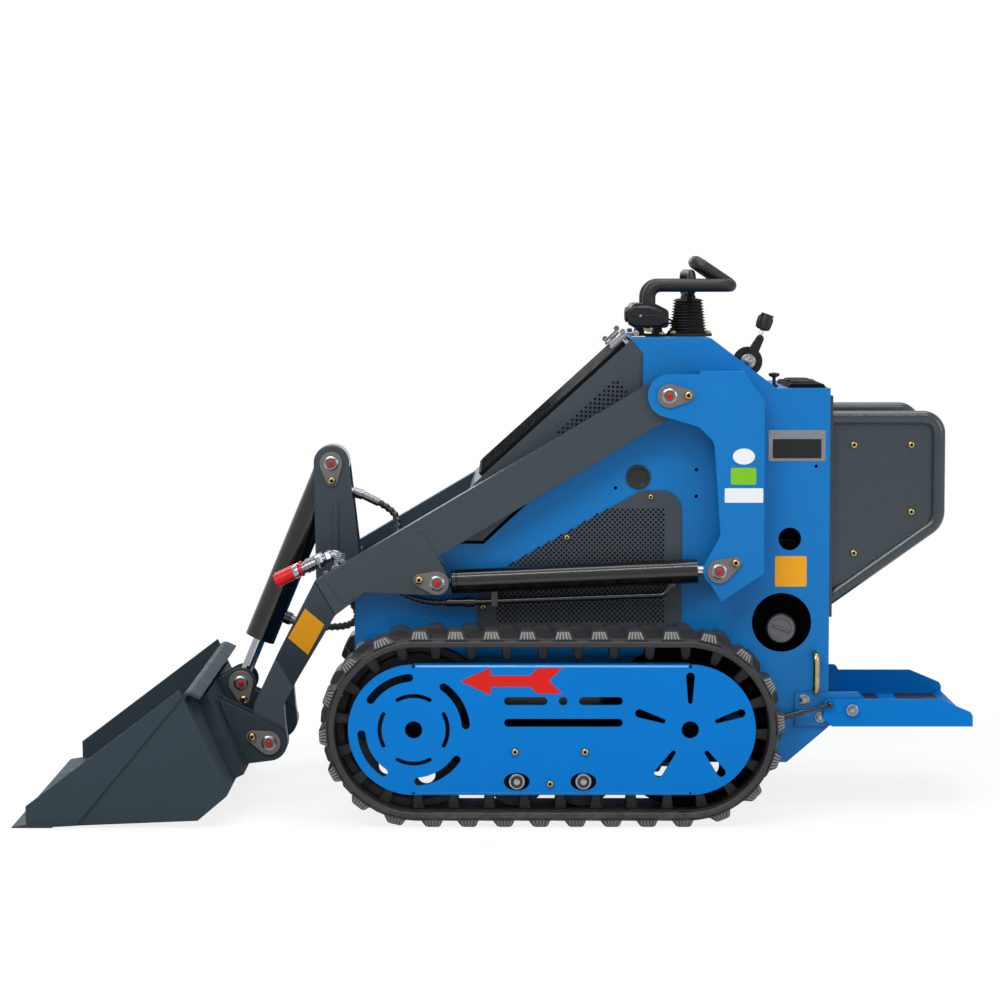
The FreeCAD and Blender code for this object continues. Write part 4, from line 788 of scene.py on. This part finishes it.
def latches():
    """Over-centre latches that hold the hood's rear edge down."""
    hood_roller = [(0, 5.4), (1, 6), (17, 6), (18, 5.4)]
    cowl_roller = [(0, 5), (1, 6), (19, 6), (20, 5)]
    for y in (-170, 170):
        seat = Vector((-240, y, 948)) + LATCH_OUT * 2
        slab("hood", SILVER, seat, (19, 15, 3), LATCH_DOWN, LATCH_OUT)
        slab("hood", SILVER, seat + LATCH_OUT * 5, (16, 10, 3), LATCH_DOWN, LATCH_OUT)
        for tip in (-21, 12):
            end = seat + LATCH_DOWN * tip + LATCH_OUT * 9 - Vector((0, 9, 0))
            turned("hood", SILVER, end, hood_roller, segments=20)
        slab("chassis", SILVER, (-281, y, COWL_TOP + 1.6), (13, 15, 1.6))
        turned("chassis", SILVER, (-276, y - 10, COWL_TOP + 8), cowl_roller, segments=20)


TRAVEL_ARROW = [              # red arrow on a guard, as (x, z); its point is at the front
    (77.5, 290.6), (18.2, 317.6), (18.2, 301.3), (-58.2, 301.3), (-74.0, 316.5), (-122.4, 316.5),
    (-96.1, 291.4), (-122.4, 265.7), (-74.0, 265.7), (-58.2, 279.5), (18.2, 279.5), (18.2, 262.4),
]


def guards():
    """Screws, roller nuts, rounded edges and travel arrow of each track guard, with painted shade
    in its openings, notches and axle ends, and a painted highlight along its top fold.
    """
    rear, front = -368, 164   # ends of the straight edges
    for side in (1, -1):
        y = side * GUARD_Y
        axis = (0, side, 0)
        for x, z in ((-29.5, 150.7), (-167, 150.7), (-98.3, 87.2)):
            screw("chassis", (x, y, z), 15, ZINC, axis)
        for x, z in ROLLERS:
            # Near-black oval behind each nut: painted shade in the guard's opening.
            film("chassis", SHADE_BLACK, oval(x, z, 25.5, 17.5), y, side, 0.2)
            nut("chassis", (x, y, z), 22, 15.5, axis)
        # The top bead is painted lighter as a painted highlight; the bottom one keeps the plain
        # blue.
        for z, paint, gap in ((319.6, HIGHLIGHT_BLUE, 4), (68.5, BLUE, 2)):
            bead("chassis", paint, (rear, side * FOLD_Y, z), (front, side * FOLD_Y, z), 3.3)
            for x in (front + 6, rear - 6):
                # Near-black slots at the folds' ends: painted shade in the relief notches.
                slot = rounded_box(x - 2.2, x + 2.2, z - gap, z + gap, 1.5)
                film("chassis", SHADE_BLACK, slot, y, side, 0.2)
        # Near-black disc at each axle's end: painted shade.
        for x in (FRONT_AXLE_X, REAR_AXLE_X):
            turned("chassis", SHADE_BLACK, (x, side * AXLE_END_Y, AXLE_Z), [(0, 27), (0.6, 26.6)], axis)
        film("chassis", DECAL_RED, TRAVEL_ARROW, y, side)


def nameplate(x0, x1, z0, z1, y):
    """Blank rating plate: brushed frame, dark field and a rivet in each corner."""
    face = y + 1.0
    plate("chassis", BRUSHED, rounded_box(x0, x1, z0, z1, 3), y, face, 0.4)
    film("chassis", PLASTIC, rounded_box(x0 + 9, x1 - 9, z0 + 6, z1 - 18, 2), face, 1, 0.2)
    rivet = [(0, 2.6), (0.8, 2.2), (1.2, 1.0)]
    for x in (x0 + 6, x1 - 6):
        for z in (z0 + 4.5, z1 - 5):
            turned("chassis", SILVER, (x, face, z), rivet, segments=14)


def plates():
    """Blank plates and films on the left side, and on the left arm's sloping leg."""
    film("chassis", YELLOW, rounded_box(-620, -556, 456, 518, 3), SIDE_Y, 1, 0.5)
    nameplate(-657, -541, 710, 773, SIDE_Y)
    film("chassis", WHITE, oval(-487, 723.5, 22, 16), TOWER_Y, 1, 0.4)
    film("chassis", GREEN, rounded_box(-512, -461, 667, 701, 4), TOWER_Y, 1, 0.4)
    film("chassis", WHITE, rounded_box(-526, -449, 631, 660, 2), TOWER_Y, 1, 0.4)
    corners = [Vector(c) for c in ((393, 246.4, 414), (353.5, 257.6, 382.3),
                                   (389, 217.8, 316.7), (430, 206.3, 349.8))]
    out = (corners[1] - corners[0]).cross(corners[2] - corners[0]).normalized()
    out *= math.copysign(1, out.y)
    mesh = hardware.mesh("boom", YELLOW)
    skin(mesh, [[mesh.verts.new((c + out * rise) * MM) for c in corners] for rise in (-1.5, 0.7)])


def fixings():
    """Bolts of the hip guards, platform and controls, and the tilt bracket's side straps."""
    for side in (1, -1):
        axis = (0, side, 0)
        for x, z in ((-716, 742), (-832, 742), (-833, 606), (-717, 522)):
            screw("chassis", (x, side * HIP_Y, z), 15, ZINC, axis)
        for x, z in ((-616, 226), (-649, 191)):
            nut("chassis", (x, side * BRACKET_Y, z), 17, 11, axis)
        nut("chassis", (PLATFORM_PIVOT[0], side * HINGE_PIN_Y, PLATFORM_PIVOT[1]), 18, 12, axis)
        strap = [(335, 508), (345, 506), (345, 612), (335, 612)]
        plate("boom", ARM, strap, side * CHEEK_Y, side * (CHEEK_Y + 4))
    for x, y in ((-430, 42), (-430, -42), (-358, 42), (-358, -42)):
        hexagon("chassis", ZINC, (x, y, COWL_TOP + 6), 11, 5, (0, 0, 1))
    for x, y in ((-283, 37), (-334, 37), (-283, -37), (-334, -37)):
        hexagon("chassis", ZINC, (x, y, COWL_TOP + 4), 11, 5, (0, 0, 1))
    for y in (-58, 58):
        hexagon("chassis", ZINC, (-309, y, 974), 13, 7, (0, 0, -1))


def boot():
    """Ribbed rubber boot of the drive lever, on its flange."""
    mesh = bmesh.new()
    foot, top, ribs = COWL_TOP + 6, 1034.0, 12
    foot_r, taper = 39.5, 9.0
    step = (top - foot) / ribs
    profile = [(foot, 39.0)]
    for rib in range(ribs):
        wide = foot_r - taper * rib / ribs
        z = foot + rib * step
        profile += [(z + step * share, wide - drop) for share, drop in
                    ((0.12, 4.5), (0.38, 0.8), (0.5, 0), (0.66, 0.8), (0.92, 5))]
    profile += [(top, 28), (top + 2, 16), (top + 8, 15), (top + 9, 10)]
    rings = []
    for z, radius in profile:
        rings.append([mesh.verts.new(Vector((LEVER_X + radius * math.cos(a),
                                             radius * math.sin(a), z)) * MM)
                      for a in circle(40)])
    skin(mesh, rings)
    rim = rounded_box(-438, -350, -52, 52, 8)
    skin(mesh, [[mesh.verts.new(Vector((x, y, z)) * MM) for x, y in rim]
                for z in (COWL_TOP, COWL_TOP + 5, COWL_TOP + 6)])
    piece = show(mesh, "lever_boot", [GRIP], crease=50)
    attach(piece, "chassis")
    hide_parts("joystick_bellows")


def controls():
    """Throttle's root and knob, lever's collar, pod's cover, button and wires, and dials."""
    up = (0, 0, 1)
    plate("chassis", PLASTIC, pear((-505, 909), 13, (-529, 955), 8), 140, 151, 2)
    turned("chassis", CHROME, (LEVER_X, 0, 1046), [(0, 9.6), (10, 9.6)], up, 24)
    cover = [(-262, 985), (-262, 1012), (-272, 1021), (-306, 1022), (-334, 1012), (-345, 1000),
             (-345, 986), (-330, 978), (-275, 978)]
    plate("chassis", PLASTIC, cover, 97, 104, 5)
    bead("chassis", GRIP, (-272, 104, 1003), (-335, 103, 999), 1.6)
    screw("chassis", (-288, 104.5, 1000), 6, SILVER)
    button = [(0, 13), (5, 15), (9, 14), (11, 9)]
    turned("chassis", GRIP, (-267, 60, 1003), button, (1, 0, 0), 40, (6, 0.06))
    nut("chassis", (-505, 151, 909), 15, 15)
    knob = [(0, 8), (3, 13), (12, 14.5), (24, 14.5), (31, 11), (34, 6)]
    turned("chassis", GRIP, (-534, 143, 973), knob, (-0.326, 0, 0.945), 60, (5, 0.2))
    bead("chassis", CHROME, (-523, 143, 943), (-534, 143, 974), 4.4)
    mesh = hardware.mesh("chassis", HOSE)
    for y, rise in ((18, 0), (-14, 8)):
        path = smooth_route([(-344, y, 984 + rise), (-356, y, 986 + rise), (-364, y, 976),
                             (-352, y, 966), (-348, y, 960)], 3.0)
        rings = []
        for spot in path:
            rings.append([mesh.verts.new(spot + Vector((math.cos(a), 0, math.sin(a))) * 2.2 * MM)
                          for a in circle(8)])
        skin(mesh, rings)
    for y, r in ((-45, 26), (30, 30), (110, 26)):
        turned("chassis", GRIP, (DIAL_X, y, 865), [(0, r), (3, r), (4, r - 3), (2, r - 4)], up, 36)
        turned("chassis", GLOSS_BLACK, (DIAL_X, y, 866), [(0, r - 4), (0.6, r - 4.4)], up, 36)


def deck():
    """Ribbed grip strips on the operator's platform."""
    face = PLATFORM_TOP + 1.4
    for x0, x1 in ((-813, -783), (-940, -851)):
        slab("platform", GRIP, ((x0 + x1) / 2, 0, PLATFORM_TOP + 0.7), ((x1 - x0) / 2, 222, 0.7))
        count = int((x1 - x0) / 6)
        for k in range(count):
            x = x0 + 3 + k * (x1 - x0 - 6) / (count - 1)
            bead("platform", GRIP, (x, -218, face), (x, 218, face), 1.2, 6)


def filler():
    """Knurled rim and grip bar of the fuel cap."""
    x, z = FUEL_CAP
    rim = [(0, 29.6), (1.5, 30.8), (12, 30.8), (14, 29)]
    turned("chassis", CAP_METAL, (x, 198, z), rim, segments=144, lobes=(36, 0.012))
    face = [(0, 25), (3.2, 24), (3.4, 21), (2.2, 20)]
    turned("chassis", CAP_METAL, (x, 211.5, z), face, segments=48)
    slab("chassis", CAP_METAL, (x, 215.4, z), (17, 3, 2.4), (0.94, 0, 0.34), (0, 1, 0), 1.2)


TILT_PORT = 338.0             # distance of the tilt cylinder's lower port from its head's pin


def barrel_way(head, foot):
    """Direction of a cylinder, from its head's pin to its foot's."""
    return Vector((foot[0] - head[0], 0, foot[1] - head[1])).normalized()


def necks():
    """Full-width ends of the barrels, up to their eyes, and the tilt cylinder's lower port."""
    for body, head, foot, y, radius, start, end in (
            ("tilt_cylinder", TILT_HEAD, TILT_FOOT, 0, 31.5, 4, 46),
            ("lift_cylinder_left", LIFT_HEAD, LIFT_FOOT, LIFT_Y, 25.0, 28, 40),
            ("lift_cylinder_right", LIFT_HEAD, LIFT_FOOT, -LIFT_Y, 25.0, 28, 40)):
        head_pin = Vector((head[0], y, head[1]))
        way = barrel_way(head, foot)
        neck = [(0, radius - 2.5), (2.5, radius), (end - start, radius)]
        turned(body, GLOSS_BLACK, head_pin + way * start, neck, way, 48)
    way = barrel_way(TILT_HEAD, TILT_FOOT)
    out = Vector((way.z, 0, -way.x))
    port = Vector((TILT_HEAD[0], 0, TILT_HEAD[1])) + way * TILT_PORT
    boss = [(0, 13.4), (15, 13.4), (16, 12.6)]
    turned("tilt_cylinder", GLOSS_BLACK, port + out * 29, boss, out, 24)


def couplers():
    """Nuts, collars and clamp bolts of the two quick couplers."""
    fall, up = COUPLER_FALL, (0, 0, 1)
    groove = [(0, 12.6), (0.8, 13.6), (2.6, 13.6), (3.4, 12.6)]
    sleeve = [(0, 11.6), (2, 13.2), (12, 13.2), (14, 12.4)]
    riser_ring = [(0, 10.4), (1, 11.2), (2, 11.2), (3, 10.4)]
    for y in (196, 146):
        top = Vector((COUPLER_RISER[0], y, COUPLER_RISER[1]))
        for along, across, length in ((6, 21, 11), (24, 24, 14)):
            hexagon("boom", SILVER, top + fall * along, across, length, fall)
        for along in (42, 49, 56):
            turned("boom", SILVER, top + fall * along, groove, fall, 28)
        turned("boom", SILVER, top + fall * 76, sleeve, fall, 28)
        riser_x = COUPLER_RISER[0] - 10
        hexagon("boom", SILVER, (riser_x, y, 488), 26, 12, up)
        for step in range(4):
            turned("boom", SILVER, (riser_x, y, 502 + 4 * step), riser_ring, up, 24)
    slab("boom", ARM, (335, 216, 488), (26, 2, 14), (0.84, 0, -0.54), (0, 1, 0))
    for x, z in ((352, 482), (318, 506), (335, 492)):
        hexagon("boom", SILVER, (x, 218, z), 11, 4, (0, 1, 0))


def seam(body, material, points, y, radius):
    """Bead through XZ points on a side face: a weld bead, or a line of painted shade in a fold."""
    for a, b in zip(points, points[1:]):
        bead(body, material, (a[0], y, a[1]), (b[0], y, b[1]), radius, 8)


# Edges of the arms' plates, as (x, z): the doubler at each elbow, and the fold above the leg.
DOUBLER_REAR = [(166, 575), (156, 571), (149.7, 565), (139.3, 546), (122.5, 522.8), (113, 507)]
DOUBLER_FRONT = [(352, 478), (331.6, 448.5), (323, 436), (314.6, 430.3), (302, 433), (268, 452.7)]
LEG_FOLD = [(371, 470.5), (332, 405)]


def arms():
    """Seams of the doubler plate round each elbow, and a line of painted shade in the fold above
    the leg.
    """
    for side in (1, -1):
        for edge in (DOUBLER_REAR, DOUBLER_FRONT):
            seam("boom", ARM, edge, side * (ARM_Y - 0.5), 1.7)
        # Near-black bead: painted shade in the fold's crease.
        seam("boom", SHADE_BLACK, LEG_FOLD, side * (ARM_Y - 0.6), 1.0)


def hood_seal():
    """Lip that covers the gap between each of the hood's cheeks and the cowl."""
    outline = [(-282.5, 845), (-287.2, 845), (-287.2, 927), (-261.8, 957.3), (-258.5, 951),
               (-282.5, 923)]
    for side in (1, -1):
        film("hood", GREY, outline, side * (SIDE_Y - 3), side, 2.9)


def welds():
    """Weld beads along the arms' cross member and where the hitch's ears meet its plate."""
    bead("boom", ARM, (347, -236, 469), (347, 236, 469), 2.4)
    for side in (1, -1):
        for y in (EAR_Y + 1, 136):
            bead("bucket", BUCKET, (524, side * y, 92), (570, side * y, 222), 2.4)


# ---------------------------------------------------------------- studio
GLOSS_SHARE = 0.35            # how much of the white surroundings shows in glossy surfaces
FLOOR_WHITE = 0.84            # share of plain white in the floor near the machine,
FLOOR_FADE = (1.3, 3.0)       # which grows to all of it between these distances, in metres


def studio():
    """White surroundings, soft lamps and the camera; places here are in metres."""
    world = bpy.data.worlds.new("studio")
    bpy.context.scene.world = world
    world.use_nodes = True
    tree = world.node_tree
    tree.nodes.clear()
    lit = add(tree, "Background", {"Color": (0.94, 0.97, 1.0, 1.0), "Strength": 0.50})
    white = add(tree, "Background", {"Color": (1.0, 1.0, 1.0, 1.0), "Strength": 1.0})
    mixed = add(tree, "MixShader", {0: seen_directly(tree), 1: lit.outputs[0], 2: white.outputs[0]})
    tree.links.new(mixed.outputs[0], add(tree, "OutputWorld").inputs["Surface"])

    sheet = bmesh.new()
    bmesh.ops.create_grid(sheet, x_segments=8, y_segments=8, size=16.0)
    floor = show(sheet, "floor", [floor_material()])
    floor.location.z = -0.0005

    lamp("key", (2.6, 5.0, 4.8), (0.0, 0.2, 0.5), 3.6, 140)
    strip = lamp("strip", (0.0, 3.0, 4.2), (0.0, 0.2, 0.4), 4.5, 60)
    strip.shape = "RECTANGLE"
    strip.size_y = 0.25
    lamp("fill", (-5.0, 3.6, 2.2), (0.0, 0.2, 0.4), 3.2, 70)
    lamp("top", (-0.4, -0.4, 5.2), (0.0, 0.0, 0.3), 4.0, 130)
    lamp("rim", (2.0, -5.0, 3.0), (0.0, 0.0, 0.6), 3.0, 70)

    camera = bpy.data.objects.new("camera", bpy.data.cameras.new("camera"))
    camera.data.lens = 116.2
    camera.data.sensor_width = 36.0
    camera.location = (0.0, 6.723, 1.107)
    camera.rotation_euler = (math.radians(90 - 4.1832), 0.0, math.pi)
    bpy.context.scene.collection.objects.link(camera)
    bpy.context.scene.camera = camera


def lamp(name, spot, target, size, power):
    """Round soft lamp at spot, aimed at target."""
    light = bpy.data.lights.new(name, "AREA")
    light.shape = "DISK"
    light.size = size
    light.energy = power
    holder = bpy.data.objects.new(name, light)
    holder.location = spot
    holder.rotation_euler = (Vector(target) - Vector(spot)).to_track_quat("-Z", "Y").to_euler()
    bpy.context.scene.collection.objects.link(holder)
    return light


def seen_directly(tree):
    """1 for rays from the camera or through glass, GLOSS_SHARE for mirrored ones, else 0."""
    rays = add(tree, "LightPath").outputs
    mirrored = combine(tree, "MULTIPLY", rays["Is Glossy Ray"], GLOSS_SHARE)
    glossy = combine(tree, "MAXIMUM", mirrored, rays["Is Transmission Ray"])
    return combine(tree, "MAXIMUM", rays["Is Camera Ray"], glossy)


def floor_material():
    """Pale floor that shows white but keeps the object's shadow near it."""
    material = bpy.data.materials.new("pale_floor")
    material.use_nodes = True
    tree = material.node_tree
    tree.nodes.clear()
    place = add(tree, "TexCoord").outputs["Object"]
    cloud = add(tree, "TexNoise", {"Vector": place, "Scale": 2.0, "Detail": 3.0}).outputs["Fac"]
    tone = ramp(tree, cloud, [(0.3, (0.82, 0.82, 0.82, 1)), (0.7, (0.85, 0.85, 0.85, 1))])
    matte = add(tree, "BsdfDiffuse", {"Color": tone, "Roughness": 0.6})
    glow = add(tree, "Emission", {"Color": (1, 1, 1, 1), "Strength": 1.0})
    distance = add(tree, "VectorMath", {0: place}, operation="LENGTH").outputs["Value"]
    share = spread(tree, distance, FLOOR_WHITE, 1.0, *FLOOR_FADE)
    amount = combine(tree, "MULTIPLY", seen_directly(tree), share)
    mixed = add(tree, "MixShader", {0: amount, 1: matte.outputs[0], 2: glow.outputs[0]})
    tree.links.new(mixed.outputs[0], add(tree, "OutputMaterial").inputs["Surface"])
    return material


bpy.context.scene.view_settings.view_transform = "Standard"
dress_frame()
for track_side, track_node in ((1, "track_left"), (-1, "track_right")):
    tread(track_side, track_node)
pins()
hoses()
vents()
grille()
latches()
guards()
plates()
fixings()
controls()
deck()
filler()
necks()
couplers()
arms()
hood_seal()
boot()
welds()
hardware.build()
studio()
